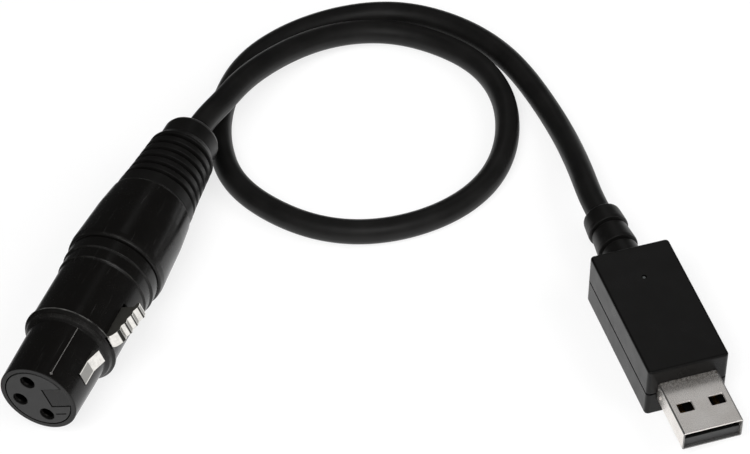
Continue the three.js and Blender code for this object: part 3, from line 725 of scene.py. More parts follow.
@dataclass(frozen=True)
class PlugNickel(Plated):
    """Nickel of the flat plug: mottled beside the housing, with a painted dark reflection along its long top
    edges and painted shade and dark reflection in its mouth.

    The mouth's two parts, its end faces and its floor, lie under a station and a height each.
    """

    haze: Pair = (-18.8, -16.3)
    haze_colour: Colour = grey(0.27, 0.12)
    fold: float = 13.95
    top_edge_dark_reflection: Colour = grey(0.2, 0.02)
    mouth: tuple[Pair, Pair] = ((-28.9, 7.97), (-28.2, 4.12))
    mouth_painted_shade: Colour = grey(0.24, 0.02)

    def coloured(self, paint: Painter, grain: Socket) -> Socket:
        """Mottle the metal towards the housing, paint a dark reflection where |x| + z passes fold, and paint
        shade and dark reflection in its mouth.

        Args:
            paint: The material's painter.
            grain: Fine grain from 0 to 1.

        Returns:
            The colour.
        """
        fleck = paint.spread(paint.noise(0.42, 3.0, 0.7), 0.42, 0.62, 0.1)
        speckle = paint.calc("MULTIPLY", paint.spread(paint.along(WORLD, Axis.Y), *self.haze), fleck)
        colour = paint.blend(speckle, super().coloured(paint, grain), self.haze_colour)
        # Painted dark reflection along the long top edges, where |x| + z passes fold.
        across = paint.calc("ABSOLUTE", paint.along(WORLD, Axis.X))
        across = paint.calc("ADD", across, paint.along(WORLD, Axis.Z))
        folded = paint.spread(across, self.fold, self.fold + 0.04, 0.0, 0.9)
        colour = paint.blend(folded, colour, self.top_edge_dark_reflection)
        # Painted shade and dark reflection in the mouth: its end faces and its floor.
        end, floor = (paint.calc("MULTIPLY", paint.below(Axis.Y, y), paint.below(Axis.Z, z))
                      for y, z in self.mouth)
        return paint.blend(paint.calc("MAXIMUM", end, floor), colour, self.mouth_painted_shade)


@dataclass(frozen=True)
class LatchMetal:
    """Polished nickel of the latch, with painted dim reflections on its hook, its dip and the falls of its
    teeth, and painted shade along its tooth crests.

    Each span has the first and last station of its band, whose edges are ease wide inside it.
    """

    name: str = "latch_nickel"
    bright: Colour = (0.86, 0.84, 0.8, 1.0)
    dull: Colour = (0.3, 0.295, 0.28, 1.0)
    dark: Colour = (0.03, 0.03, 0.027, 1.0)
    side: Colour = (0.45, 0.44, 0.4, 1.0)
    half_width: float = 1.4
    rim: float = 0.3
    start: float = 4.0
    reach: float = 21.0
    ease: float = 0.06
    dim_reflection_spans: tuple[Pair, ...] = (
        (4.0, 8.25), (11.1, 14.7), (16.75, 17.5), (18.55, 19.45), (20.65, 21.5), (22.85, 23.6))
    crest_shade_spans: tuple[Pair, ...] = ((15.95, 16.75), (18.18, 18.55), (20.3, 20.66), (22.46, 22.84))

    def banded(self, paint: Painter, spans: tuple[Pair, ...]) -> Socket:
        """Share that is 1 inside each span of stations and 0 outside."""
        levels = tuple((low + self.ease, high - self.ease, 1.0) for low, high in spans)
        return paint.bands(self.start, self.reach, levels, self.ease)

    def material(self) -> Material:
        """Build the node material: worn metal, painted dim-reflection and shade bands by station, a bright
        rim, plain sides.

        A point is on a side where |(p - origin) . across| comes within 0.03 mm of half the width.

        Returns:
            The material.
        """
        paint = Painter(self.name)
        across = paint.calc("ABSOLUTE", paint.along(CONNECTOR, Axis.X))
        beside = paint.spread(across, self.half_width - 0.05, self.half_width - 0.03)
        rim = paint.spread(across, self.half_width - self.rim, self.half_width - 0.1)
        lines = paint.noise(1.0, 2.0, where=paint.stretched((0.05, 3.0, 3.0), CONNECTOR.heading + 90.0))
        cloud = paint.noise(1.1, 4.0, 0.6)
        colour = paint.blend(paint.spread(cloud, 0.45, 0.75, 0.0, 0.35), self.bright, self.dull)
        # Painted dim reflections and painted shade by station; the bright rim and plain sides go over them.
        for share, over in ((self.banded(paint, self.dim_reflection_spans), self.dull), (rim, self.bright),
                            (self.banded(paint, self.crest_shade_spans), self.dark), (beside, self.side)):
            colour = paint.blend(share, colour, over)
        rough = paint.calc("ADD", paint.spread(beside, 0.0, 1.0, 0.0, 0.4),
                           paint.spread(cloud, 0.3, 0.7, 0.1, 0.2))
        return paint.finish(colour, rough, paint.bump(lines, 0.001, 0.6), {"Metallic": 1.0})


@dataclass(frozen=True)
class Jacket:
    """Soft black cord jacket: long drawn streaks, dull rubbed bands and specks of dust.

    It reads the UV map, which is in millimetres along and around, or the Object coordinates.
    """

    name: str
    kind: str = "UV"
    colour: Colour = grey(0.004, 0.03)
    dusty: Colour = grey(0.011, 0.04)
    roughness: float = 0.42

    def material(self) -> Material:
        """Build the node material: dust from specks and bands in the colour, streaks in gloss and normal.

        Returns:
            The material.
        """
        paint = Painter(self.name)
        unit = 1.0 / MM if self.kind == "UV" else 1.0
        plain = paint.stretched((unit, unit, unit), kind=self.kind)
        streak = paint.noise(1.0, 4.0, where=paint.stretched((9.0 * unit, 0.5 * unit, unit), kind=self.kind))
        speck = paint.noise(0.22, 2.0, where=plain)
        band = paint.noise(7.0, where=plain)
        dust = paint.calc("ADD", paint.spread(speck, 0.66, 0.74, 0.0, 0.6),
                          paint.spread(band, 0.35, 0.7, 0.0, 0.45), True)
        rough = paint.spread(streak, 0.3, 0.7, self.roughness - 0.06, self.roughness + 0.08)
        normal = paint.bump(streak, 0.02, 0.5, paint.bump(speck, 0.008, 0.5))
        return paint.finish(paint.blend(dust, self.colour, self.dusty), rough, normal,
                            {"IOR": 1.44, "Specular IOR Level": 0.3})


@dataclass(frozen=True)
class Laminate:
    """Circuit board: green lacquer over crossed glass threads, with soldered lands along it."""

    name: str = "board_laminate"
    colour: Colour = (0.008, 0.085, 0.03, 1.0)
    thread: Colour = (0.02, 0.15, 0.06, 1.0)
    land: Colour = (0.42, 0.4, 0.36, 1.0)

    def material(self) -> Material:
        """Build the node material: two crossed waves for the threads, bright lands in a brick pattern.

        Returns:
            The material.
        """
        paint = Painter(self.name)
        where = paint.stretched((MM, MM, MM))
        weave = paint.calc("MULTIPLY", *(
            paint.add("ShaderNodeTexWave", {"Vector": where, "Scale": 1.4, "Distortion": 0.6},
                      bands_direction=way).outputs[1] for way in ("X", "Y")))
        lands = paint.add("ShaderNodeTexBrick", {"Vector": where, "Scale": 0.35, "Mortar Size": 0.06,
                                                 "Color1": grey(0.0), "Color2": grey(0.0),
                                                 "Mortar": grey(1.0)}).outputs[0]
        colour = paint.blend(lands, paint.blend(weave, self.colour, self.thread), self.land)
        rough = paint.spread(weave, 0.0, 1.0, 0.3, 0.42)
        return paint.finish(colour, rough, paint.bump(weave, 0.01, 0.5), {})


@dataclass(frozen=True)
class TwoPart:
    """A soldered piece whose body is resin or ceramic and whose ends are tinned metal."""

    name: str
    body: Colour
    axis: Axis
    middle: float
    reach: float
    tinned: Colour = grey(0.62, 0.02)

    def material(self) -> Material:
        """Build the node material: metal where |coordinate - middle| passes reach, both in millimetres.

        Returns:
            The material.
        """
        paint = Painter(self.name)
        away = paint.calc("ABSOLUTE", paint.calc("SUBTRACT", paint.along(WORLD, self.axis), self.middle))
        metal = paint.calc("GREATER_THAN", away, self.reach)
        grain = paint.noise(0.15)
        resin = paint.blend(grain, self.body, tuple(1.6 * v for v in self.body[:3]) + (1.0,))
        return paint.finish(paint.blend(metal, resin, self.tinned), paint.spread(metal, 0.0, 1.0, 0.55, 0.28),
                            paint.bump(grain, 0.008, 0.6), {"Metallic": metal})


@dataclass(frozen=True)
class ClearResin:
    """Clear moulded resin of the status light and its pipe, slightly cloudy."""

    name: str
    tint: Colour
    cloudy: Colour

    def material(self) -> Material:
        """Build the node material: clear, with slow clouds in its tint and gloss.

        Returns:
            The material.
        """
        paint = Painter(self.name)
        cloud = paint.noise(0.4)
        rough = paint.spread(cloud, 0.3, 0.7, 0.12, 0.3)
        return paint.finish(paint.blend(cloud, self.tint, self.cloudy), rough, None,
                            {"Transmission Weight": 0.35, "IOR": 1.49})


FINISHES = (
    Moulded("housing_plastic", grey(0.0028, 0.05), grey(0.0048, 0.05), 0.3, 0.16, 0.004, 0.005,
            specular=0.22),
    Coat("black_coat", grey(0.003, 0.08), grey(0.0056, 0.08), 0.24, 0.1, 0.002, 0.004, 0.25, 0.28),
    # Pale coat of the mould ridge: rubbed wear and a painted highlight along the ridge.
    Moulded("rubbed_coat", grey(0.08, 0.04), grey(0.18, 0.04), 0.32),
    Moulded("boot_rubber", grey(0.0026, 0.06), grey(0.008, 0.05), 0.42, 0.2, 0.008, 0.012, 0.4, 0.4),
    Moulded("insert_plastic", grey(0.0042, 0.04), grey(0.0094, 0.04), 0.43, 0.14),
    # The tongue's top, above 5.98 mm, gets painted shade for the shadow under the plug's top sheet.
    Moulded("tongue_plastic", grey(0.04), grey(0.055), 0.42, specular=0.3, lit_below=5.98),
    PlugNickel("bright_nickel", grey(0.92, 0.035), grey(0.68, 0.07), 0.2, 0.0006, 0.45, 0.28, 0.88),
    LatchMetal(),
    # Gold at about half its brightness: painted shade for the shaded inside of the plug.
    Plated("gold_contact", (0.5, 0.34, 0.14, 1.0), (0.34, 0.2, 0.08, 1.0), 0.25),
    # Near-black socket metal: painted shade for the dark inside of the contact holes.
    Plated("dark_nickel", grey(0.025, 0.05), grey(0.012, 0.05), 0.4),
    Plated("spring_steel", grey(0.42, 0.01), grey(0.3, 0.03), 0.3),
    Plated("bare_copper", (0.62, 0.28, 0.14, 1.0), (0.35, 0.14, 0.07, 1.0), 0.32),
    Jacket("cord_jacket"),
    Jacket("inner_jacket", "Object"),
    Laminate(),
    ClearResin("smoked_pipe", (0.05, 0.055, 0.055, 1.0), (0.1, 0.11, 0.11, 1.0)),
    ClearResin("clear_lens", (0.8, 0.86, 0.84, 1.0), (0.62, 0.7, 0.68, 1.0)),
    Moulded("red_sleeve", (0.34, 0.02, 0.014, 1.0), (0.42, 0.05, 0.04, 1.0), 0.4),
    Moulded("white_sleeve", grey(0.7, 0.03), grey(0.6, 0.05), 0.4))


def dress_node(name: str, material: Material) -> None:
    """Give a CAD node that stays in view its finish.

    Args:
        name: The node's name.
        material: Its material.
    """
    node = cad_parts[name]
    if not node.material_slots:
        node.data.materials.append(material)
    for slot in node.material_slots:
        slot.material = material
    log.info("dressed node %s in %s", name, material.name)


# Sub-assemblies

@dataclass
class Assembly:
    """A sub-assembly, which makes its pieces and dresses them in the finishes' materials."""

    paints: Paints

    def dress(self, piece: Piece, finish: str, *replaced: str, slot: str | None = None,
              body: Body = Body.INTERFACE) -> None:
        """Give a new piece its finish and its body, and hide the CAD nodes that it replaces.

        Args:
            piece: The new piece.
            finish: Its finish.
            *replaced: CAD nodes that it replaces.
            slot: The record's material slot, where that isn't named as the finish is. Not used.
            body: The body that it rides on.
        """
        piece.data.materials.clear()
        piece.data.materials.append(self.paints[finish])
        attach(piece, body.value)
        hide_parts(*replaced)
        log.info("made %s for %s: %d faces", piece.name, ", ".join(replaced), len(piece.data.polygons))

    def dress_nodes(self, **finishes: str) -> None:
        """Give each CAD node that is named here its finish."""
        for name, finish in finishes.items():
            dress_node(name, self.paints[finish])


@dataclass
class Cord(Assembly):
    """The free cord: a round jacket along its route on the surface, from one boot to the other."""

    radius: float = 2.55
    length: float = 335.5
    sides: int = 40
    steps: int = 420

    def route(self) -> Array:
        """Points of the route in millimetres, as in the part's source, run on into both boots."""
        return np.array([
            [0, 30.57, 6.3], [0.05, 36.1, 6.2], [0.8, 43.4, 5.5], [1.6, 50.4, 4.3], [2.1, 57.8, 3.1],
            [1.9, 65.6, 2.6], [1, 73.8, 2.6], [-0.8, 82.6, 2.6], [-4.6, 91.4, 2.6], [-10.6, 98.9, 2.6],
            [-18.7, 104.5, 2.6], [-28, 106.8, 2.6], [-37.5, 106.4, 2.6], [-46.6, 103.8, 2.6],
            [-54.2, 99.3, 2.6], [-59.7, 93.3, 2.6], [-63.4, 86.9, 2.6], [-65.7, 80.5, 2.6],
            [-66.8, 74.2, 2.6], [-66.7, 67.6, 2.6], [-64.8, 61.4, 2.6], [-61, 55.2, 2.6],
            [-55.3, 49.3, 2.6], [-48.2, 45.2, 2.6], [-40.2, 43.4, 2.6], [-31.5, 43.8, 2.6],
            [-23.5, 46.3, 2.6], [-16.8, 50.7, 2.6], [-11.5, 57, 2.6], [-8, 64.2, 2.6], [-6.1, 73, 2.6],
            [-7.5, 83.4, 2.6], [-13.6, 92.8, 2.6], [-22, 99, 2.8], [-32, 100.7, 3.8], [-42, 98.4, 5.4],
            [-51.1, 93.7, 7.1], [-59, 87.8, 8.5], [-64.7, 82.2, 9.35], [-68.6, 78.4, 9.95],
            [-72.38, 74.36, 10.05]])

    def centreline(self) -> Array:
        """Natural cubic spline through the route, by chord length.

        Its second derivatives m solve h0 m0 + 2 (h0 + h1) m1 + h1 m2 = 6 (d1 - d0) at each inner
        point, with h the chord lengths and d the slopes, and are nothing at both ends.

        Returns:
            Evenly spaced points in millimetres.
        """
        knots = self.route()
        chord = np.linalg.norm(np.diff(knots, axis=0), axis=1)
        at = np.concatenate([[0.0], np.cumsum(chord)])
        slope = np.diff(knots, axis=0) / chord[:, None]
        matrix = np.eye(len(knots))
        inner = np.arange(1, len(knots) - 1)
        matrix[inner, inner - 1] = chord[:-1]
        matrix[inner, inner] = 2.0 * (chord[:-1] + chord[1:])
        matrix[inner, inner + 1] = chord[1:]
        right = np.zeros_like(knots)
        right[1:-1] = 6.0 * np.diff(slope, axis=0)
        second = np.linalg.solve(matrix, right)
        s = np.linspace(0.0, at[-1], self.steps + 1)
        k = np.clip(np.searchsorted(at, s, side="right") - 1, 0, len(chord) - 1)
        h, u, v = chord[k][:, None], (s - at[k])[:, None], (at[k + 1] - s)[:, None]
        return (second[k] * v ** 3 + second[k + 1] * u ** 3) / (6.0 * h) + \
            (knots[k] / h - second[k] * h / 6.0) * v + (knots[k + 1] / h - second[k + 1] * h / 6.0) * u

    def build_jacket(self) -> Piece:
        """Carry a circle along the centreline: p = c(s) + R (cos a, side(s) + sin a, up(s)).

        Returns:
            The cord, with a UV map in millimetres along and around.
        """
        line = self.centreline()
        ahead = np.gradient(line, axis=0)
        ahead /= np.linalg.norm(ahead, axis=1, keepdims=True)
        side = np.cross(ahead, [0.0, 0.0, 1.0])
        side /= np.linalg.norm(side, axis=1, keepdims=True)
        up = np.cross(side, ahead)
        a = (2.0 * math.pi * np.arange(self.sides) / self.sides)[None, :, None]
        ring = self.radius * (np.cos(a) * side[:, None, :] + np.sin(a) * up[:, None, :])
        points = (line[:, None, :] + ring).reshape(-1, 3)
        cord = make_piece("cord_jacket", (points, capped_faces(len(line), self.sides)))
        self.map_surface(cord, line)
        return cord

    def map_surface(self, cord: Piece, line: Array) -> None:
        """Give each corner u = distance along the cord and v = R times its bearing, in millimetres.

        Args:
            cord: The cord's object.
            line: Its centreline.
        """
        mesh = cord.data
        along = np.concatenate([[0.0], np.cumsum(np.linalg.norm(np.diff(line, axis=0), axis=1))])
        numbers = np.empty(len(mesh.loops), dtype=np.int32)
        counts = np.empty(len(mesh.polygons), dtype=np.int32)
        mesh.loops.foreach_get("vertex_index", numbers)
        mesh.polygons.foreach_get("loop_total", counts)
        column = numbers % self.sides
        face = np.repeat(np.arange(len(counts)), counts)
        widest = np.zeros(len(counts), dtype=np.int64)
        np.maximum.at(widest, face, column)
        wrapped = (column == 0) & (widest[face] == self.sides - 1)
        bearing = np.where(wrapped, self.sides, column) / self.sides * 2.0 * math.pi * self.radius
        layer = mesh.uv_layers.new(name="around")
        layer.data.foreach_set("uv", np.stack([along[numbers // self.sides], bearing], 1).ravel())

    def build(self) -> None:
        """Make and dress the cord."""
        cord = self.build_jacket()
        self.dress(cord, "cord_jacket", "cord")
        path = [tuple(point) for point in (MM * self.centreline()[::7]).tolist()]


@dataclass
class Housing(Assembly):
    """The plug housing: two moulded shells that meet at a seam, with ribs and posts inside.

    Each round column has its radius, its foot and its height.
    """

    half_width: float = 8.2
    half_length: float = 16.0
    height: float = 12.0
    seam: float = 5.65
    gap: float = 0.34
    corner: float = 0.8
    edge: float = 0.5
    wall: float = 1.2
    lip: float = 0.9
    lip_inset: float = 0.7
    play: float = 0.15
    inner_reach: float = 3.0
    outer_reach: float = 1.6
    plug_way: Triple = (6.15, 2.4, 0.85)
    plug_span: Pair = (-17.0, -10.2)
    boot_way: float = 3.15
    boot_front: float = 13.8
    boot_reach: float = 3.2
    pinhole_spot: Pair = (0.0, 7.7)
    pinhole: Triple = (0.52, 8.0, 5.0)
    sleeve: Triple = (1.3, 8.6, 2.5)
    rib_y: Pair = (-12.3, -11.1)
    post_x: float = 5.2
    post_y: Pair = (-8.8, 9.1)
    post: Triple = (0.9, 1.1, 3.4)
    pin: Triple = (0.45, 4.0, 1.9)

    def ways(self) -> list[Surface]:
        """Cuts for the flat plug at the front and the strain boot at the back."""
        plug = along_y(ringed(*self.plug_way, [[0.0, y] for y in self.plug_span]), PLUG_HEIGHT)
        return [plug, rod(self.boot_way, (0.0, self.boot_front, CORD_HEIGHT), Axis.Y, self.boot_reach, 64)]

    def column(self, size: Triple, x: float, y: float, sides: int = 48) -> Surface:
        """Upright rod of a given radius, foot and height."""
        return rod(size[0], (x, y, size[1]), Axis.Z, size[2], sides)

    def rib(self, half: float, low: float, high: float) -> Surface:
        """Rib across the shell behind its front wall, where the plug is gripped."""
        return block((-half, self.rib_y[0], low), (half, self.rib_y[1], high))

    def shell(self, name: str, section: Rows) -> Piece:
        """Piece whose section of inset, height and corner radius runs round the housing."""
        outline = rounded_outline(section, closed=False)
        return make_piece(name, ringed(self.half_width, self.half_length, self.corner, outline))

    def build_top(self) -> Piece:
        """Upper shell: ceiling, inner wall, rebate, seam bevel, outer wall, rounded top edge.

        Returns:
            The shell, with its pinhole and the sleeve round the light pipe.
        """
        seam, ceiling = self.seam + self.gap / 2.0, self.height - self.wall
        rebate, inside = self.seam + self.lip + self.play, self.lip_inset - self.play
        top = self.shell("upper_shell", [
            [self.inner_reach, ceiling, 0.0], [self.wall, ceiling, 0.3], [self.wall, rebate, 0.0],
            [inside, rebate, 0.0], [inside, seam, 0.04], [0.0, seam, 0.1], [0.0, self.height, self.edge],
            [self.outer_reach, self.height, 0.0]])
        sleeve, pinhole = (self.column(size, *self.pinhole_spot) for size in (self.sleeve, self.pinhole))
        carve(top, Carving.JOIN, [sleeve, self.rib(half=7.3, low=6.9, high=11.1)])
        carve(top, Carving.CUT, self.ways() + [pinhole])
        return top

    def build_bottom(self) -> Piece:
        """Lower shell: floor, inner wall, lip, seam bevel, outer wall, rounded bottom edge.

        Returns:
            The shell, with the posts and pins that hold the board.
        """
        seam, lip = self.seam - self.gap / 2.0, self.seam + self.lip
        bottom = self.shell("lower_shell", [
            [self.inner_reach, self.wall, 0.0], [self.wall, self.wall, 0.3], [self.wall, lip, 0.05],
            [self.lip_inset, lip, 0.1], [self.lip_inset, seam, 0.0], [0.0, seam, 0.1],
            [0.0, 0.0, self.edge], [self.outer_reach, 0.0, 0.0]])
        spots = [(x, y) for x in (-self.post_x, self.post_x) for y in self.post_y]
        posts = [self.column(self.post, x, y) for x, y in spots]
        pins = [self.column(self.pin, x, y, 24) for x, y in spots]
        carve(bottom, Carving.JOIN, posts + pins + [self.rib(half=7.2, low=1.1, high=5.5)])
        carve(bottom, Carving.CUT, self.ways())
        return bottom

    def build(self) -> None:
        """Make and dress both shells."""
        self.dress(self.build_top(), "housing_plastic", "housing_top")
        self.dress(self.build_bottom(), "housing_plastic", "housing_bottom")


@dataclass
class FlatPlug(Assembly):
    """The flat plug: folded metal shell with four windows, its tongue and its contacts."""

    half_width: float = 6.0
    half_height: float = 2.25
    corner: float = 0.32
    sheet: float = 0.3
    front: float = -28.95
    back: float = -10.2
    window: Triple = (1.46, 1.14, 0.26)
    window_x: float = 3.2
    window_y: float = -22.75
    flare: float = 0.13
    seam_half: float = 0.035
    seam_inset: Pair = (1.2, 0.5)
    seam_heights: Pair = (3.6, 3.86)
    dimple: Triple = (5.98, -17.1, 5.5)
    dimple_radius: float = 0.42
    dimple_length: float = 0.5

    def cutter(self, side: int) -> Surface:
        """Window's cutter, which flares by the edge's rounding at both faces.

        Args:
            side: -1 for the left windows and 1 for the right ones.

        Returns:
            Points and faces.
        """
        face, flare = self.half_height, self.flare
        shape = ringed(*self.window, [[-flare, -4.0], [-flare, -face], [0.0, flare - face],
                                      [0.0, face - flare], [-flare, face], [-flare, 4.0]], steps=4, hold=0.02)
        return moved(shape, (side * self.window_x, self.window_y, PLUG_HEIGHT))

    def build_shell(self) -> Piece:
        """Sheet section carried round a rounded rectangle, with windows, dimples and the fold's seam below.

        Returns:
            The shell.
        """
        profile = rounded_outline([
            [self.sheet, self.front, 0.03], [0.0, self.front, 0.06], [0.0, self.back, 0.06],
            [self.sheet, self.back, 0.06]], hold=0.05)
        ring = ringed(self.half_width, self.half_height, self.corner, profile, capped=False)
        shell = make_piece("plug_sheet", along_y(ring, PLUG_HEIGHT))
        x, y, z = self.dimple
        length, half = self.dimple_length, self.seam_half
        dimples = [rod(self.dimple_radius, (side * x - length / 2.0, y, z), Axis.X, length, 20)
                   for side in (-1, 1)]
        start, end = self.front + self.seam_inset[0], self.back - self.seam_inset[1]
        low, high = self.seam_heights
        seam = block((-half, start, low), (half, end, high), 0.02)
        carve(shell, Carving.JOIN, dimples)
        carve(shell, Carving.CUT, [self.cutter(-1), self.cutter(1), seam])
        return shell

    def build(self) -> None:
        """Make and dress the shell, and dress the nodes inside it."""
        self.dress(self.build_shell(), "bright_nickel", "plug_shell")
        self.dress_nodes(plug_tongue="tongue_plastic", plug_contact_1="gold_contact",
                         plug_contact_2="gold_contact", plug_contact_3="gold_contact",
                         plug_contact_4="gold_contact")


@dataclass
class Electronics(Assembly):
    """The circuit board and what is soldered to it, all of them CAD nodes."""

    chip_half_width: float = 2.65
    driver_half_width: float = 1.95
    capacitor_end: float = 0.72
    resin: Colour = grey(0.012)
    ceramic: Colour = (0.3, 0.19, 0.1, 1.0)

    def build(self) -> None:
        """Dress the board's nodes."""
        for name, half in (("bridge_chip", self.chip_half_width),
                           ("line_driver_chip", self.driver_half_width)):
            dress_node(name, TwoPart(f"{name}_resin", self.resin, Axis.X, 0.0, half).material())
        for number in (1, 2):
            low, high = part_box(f"capacitor_{number}")
            middle = (low.y + high.y) / 2.0 / MM
            finish = TwoPart(f"ceramic_{number}", self.ceramic, Axis.Y, middle, self.capacitor_end)
            dress_node(f"capacitor_{number}", finish.material())
        self.dress_nodes(circuit_board="board_laminate", crystal="bright_nickel", status_led="clear_lens",
                         led_light_pipe="smoked_pipe", board_conductor_1="bare_copper",
                         board_conductor_2="red_sleeve", board_conductor_3="white_sleeve",
                         housing_jacket="inner_jacket")


@dataclass
class StrainBoot(Assembly):
    """The soft boot behind the housing: three rings, each with a lip over the next, and a rounded end."""

    flange_front: float = 12.85
    flange_back: float = 14.65
    flange_radius: float = 4.0
    neck_radius: float = 3.0
    front: float = 16.15
    length: float = 14.4
    front_radius: float = 4.17
    back_radius: float = 4.0
    ring_back: float = 3.8
    ring_drop: float = 0.55
    end_round: float = 1.2
    bore: float = 2.65
    ring_shares: Pair = (0.33, 0.7)

    def build(self) -> None:
        """Turn the boot: flange, neck, three lipped rings, rounded end, bore."""
        back, low = self.front + self.length, self.ring_back - self.ring_drop
        lips = []
        for share in self.ring_shares:
            y = self.front + self.length * share
            lips += [[self.ring_back, y - 0.6, 0.3], [low, y - 0.42, 0.12], [low, y - 0.15, 0.08],
                     [self.front_radius, y, 0.22], [self.front_radius + 0.03, y + 0.7, 0.3]]
        outline = rounded_outline([
            [self.bore, self.flange_front, 0.0], [self.flange_radius, self.flange_front, 0.2],
            [self.flange_radius, self.flange_back, 0.1], [self.neck_radius, self.flange_back, 0.1],
            [self.neck_radius, self.front, 0.1], [self.front_radius, self.front, 0.25], *lips,
            [self.back_radius, back - self.end_round, 0.6], [self.back_radius - 0.15, back, self.end_round],
            [self.bore, back, 0.2]])
        boot = make_piece("ringed_boot", turned(outline, 112, (0.0, CORD_HEIGHT)))
        self.dress(boot, "boot_rubber", "strain_boot")


@dataclass
class ConnectorShell(Assembly):
    """The round connector's coated shell, front to back along Y, its latch on +Z."""

    front_radius: float = 7.8
    barrel_radius: float = 8.0
    barrel_bore: float = 6.8
    collar_radius: float = 9.45
    body_radius: float = 9.0
    body_bore: float = 7.35
    bore_step: float = 16.6
    length: float = 35.0
    spigot_radius: float = 7.9
    spigot_end: float = 42.4
    slot_half: float = 1.47
    pin_radius: float = 0.5
    pin_half: float = 2.66
    key: Corners = ((-2.15, 0.02, 2.2), (2.15, 2.6, 7.4))
    ridge_ends: tuple[Pair, Pair] = ((0.9, 0.0), (13.1, 0.19))
    gate: Triple = (0.27, 0.27, 0.24)
    gate_y: float = 0.95

    def outline(self) -> Array:
        """Outside, spigot and bore as one closed outline.

        Returns:
            Rows of radius and station, rounded.
        """
        body, collar = self.body_radius, self.collar_radius
        return rounded_outline([
            [self.barrel_bore, 0.0, 0.08], [self.front_radius, 0.0, 0.2], [self.barrel_radius, 12.9, 0.15],
            [8.7, 13.45, 0.15], [8.95, 14.15, 0.1], [collar, 14.5, 0.12], [collar, 14.95, 0.1],
            [body + 0.12, 15.2, 0.1], [body, 17.4, 0.2], [body, 28.9, 0.15], [body + 0.32, 29.3, 0.16],
            [body + 0.2, 31.9, 0.08], [body + 0.56, 32.2, 0.16], [body + 0.45, 34.75, 0.12],
            [body + 0.2, self.length, 0.05], [self.spigot_radius, self.length, 0.1],
            [self.spigot_radius, self.spigot_end, 0.2], [self.body_bore, self.spigot_end, 0.1],
            [self.body_bore, self.bore_step, 0.0], [self.barrel_bore, self.bore_step, 0.0]])

    def openings(self) -> Surface:
        """Hook opening, way under the bridge, thumb slot and covered slot, as one stepped block."""
        return prism([[4.65, 0.0], [4.65, 12.0], [11.3, 12.0], [11.3, 7.68], [14.3, 7.68], [14.3, 12.0],
                      [24.0, 12.0], [24.0, 8.6], [31.2, 8.6], [31.2, 0.0]], 2 * self.slot_half)

    def mould_line(self) -> Surface:
        """Thin raised line along the barrel: a low ridge section carried from the front to the collar.

        Returns:
            Points, where the section (x, z) at a station y is (x, y, z + the station's lift), and faces.
        """
        section = np.array([[-0.085, 7.55], [-0.085, 7.81], [-0.03, 7.87], [0.04, 7.86], [0.085, 7.81],
                            [0.085, 7.55]])
        ends = [np.insert(section + [0.0, lift], 1, station, axis=1) for station, lift in self.ridge_ends]
        return np.vstack(ends), capped_faces(2, len(section))

    def build(self) -> None:
        """Turn the shell, join its key and mould line, and cut the latch's openings."""
        shell = make_piece("round_shell", turned(self.outline(), 160), CONNECTOR)
        carve(shell, Carving.JOIN, [block(*self.key)], CONNECTOR)
        pin_bore = rod(self.pin_radius, (-self.pin_half, *LATCH_PIN), Axis.X, 2 * self.pin_half, 24)
        carve(shell, Carving.CUT, [self.openings(), pin_bore], CONNECTOR)
        self.dress(shell, "black_coat", "connector_shell")
        ridge = make_piece("parting_ridge", self.mould_line(), MOULD_LINE)
        gate = ringed(*self.gate, [[0.0, 7.5], [0.0, 7.92], [0.1, 8.02]], steps=4, hold=0.01)
        carve(ridge, Carving.JOIN, [moved(gate, (0.0, self.gate_y, 0.0))], MOULD_LINE)
        # The ridge's pale coat is rubbed wear and a painted highlight.
        self.dress(ridge, "rubbed_coat", slot="black_coat")


@dataclass
class ConnectorInsert(Assembly):
    """The insert that holds the three contact sleeves, with its keyway and a moulded dash."""

    radius: float = 6.61
    face: float = 0.02
    flange_radius: float = 7.2
    flange_front: float = 16.75
    back: float = 19.55
    pitch: float = 4.2
    hole: float = 1.48
    funnel: float = 2.55
    bearings: Triple = (-93.0, 180.0, 93.0)
    keyway: Corners = ((-2.17, -1.0, 1.88), (2.43, 21.0, 9.0))
    dash: Corners = ((4.15, -0.5, 1.9), (4.42, 0.42, 4.3))

    def build(self) -> None:
        """Turn the insert and its sockets, and cut its keyway, holes and dash."""
        outline = rounded_outline([
            [0.0, self.face, 0.0], [self.radius, self.face, 0.12], [self.radius, self.flange_front, 0.0],
            [self.flange_radius, self.flange_front, 0.1], [self.flange_radius, self.back, 0.15],
            [0.0, self.back, 0.0]], closed=False)
        insert = make_piece("contact_insert", turned(outline, 128), CONNECTOR)
        hole = [[0.0, -1.0], [self.funnel, -1.0], [self.hole, self.face + 0.07], [self.hole, 20.5],
                [0.0, 20.5]]
        cuts = [block(*self.keyway, 0.1), block(*self.dash, 0.03)]
        for number, bearing in enumerate(np.radians(self.bearings), 1):
            centre = (self.pitch * math.sin(bearing), self.pitch * math.cos(bearing))
            cuts.append(turned(hole, 64, centre))
            socket = make_piece(f"contact_socket_{number}", turned(self.socket_outline(), 64, centre),
                                CONNECTOR)
            # The sockets' near-black metal is painted shade inside the contact holes.
            self.dress(socket, "dark_nickel", f"contact_sleeve_{number}", slot="gold_contact")
        carve(insert, Carving.CUT, cuts, CONNECTOR)
        self.dress(insert, "insert_plastic", "connector_insert")

    def socket_outline(self) -> Array:
        """Socket with a rounded lip, a blind bore and a solder cup, as rows of radius and station."""
        return rounded_outline([
            [0.0, 13.9, 0.0], [1.15, 13.9, 0.1], [1.15, 0.75, 0.2], [1.3, 0.45, 0.08], [1.46, 0.45, 0.1],
            [1.46, 20.6, 0.1], [1.3, 20.8, 0.0], [1.3, 25.8, 0.08], [0.9, 25.8, 0.05], [0.9, 21.2, 0.1],
            [0.0, 21.2, 0.0]], closed=False)


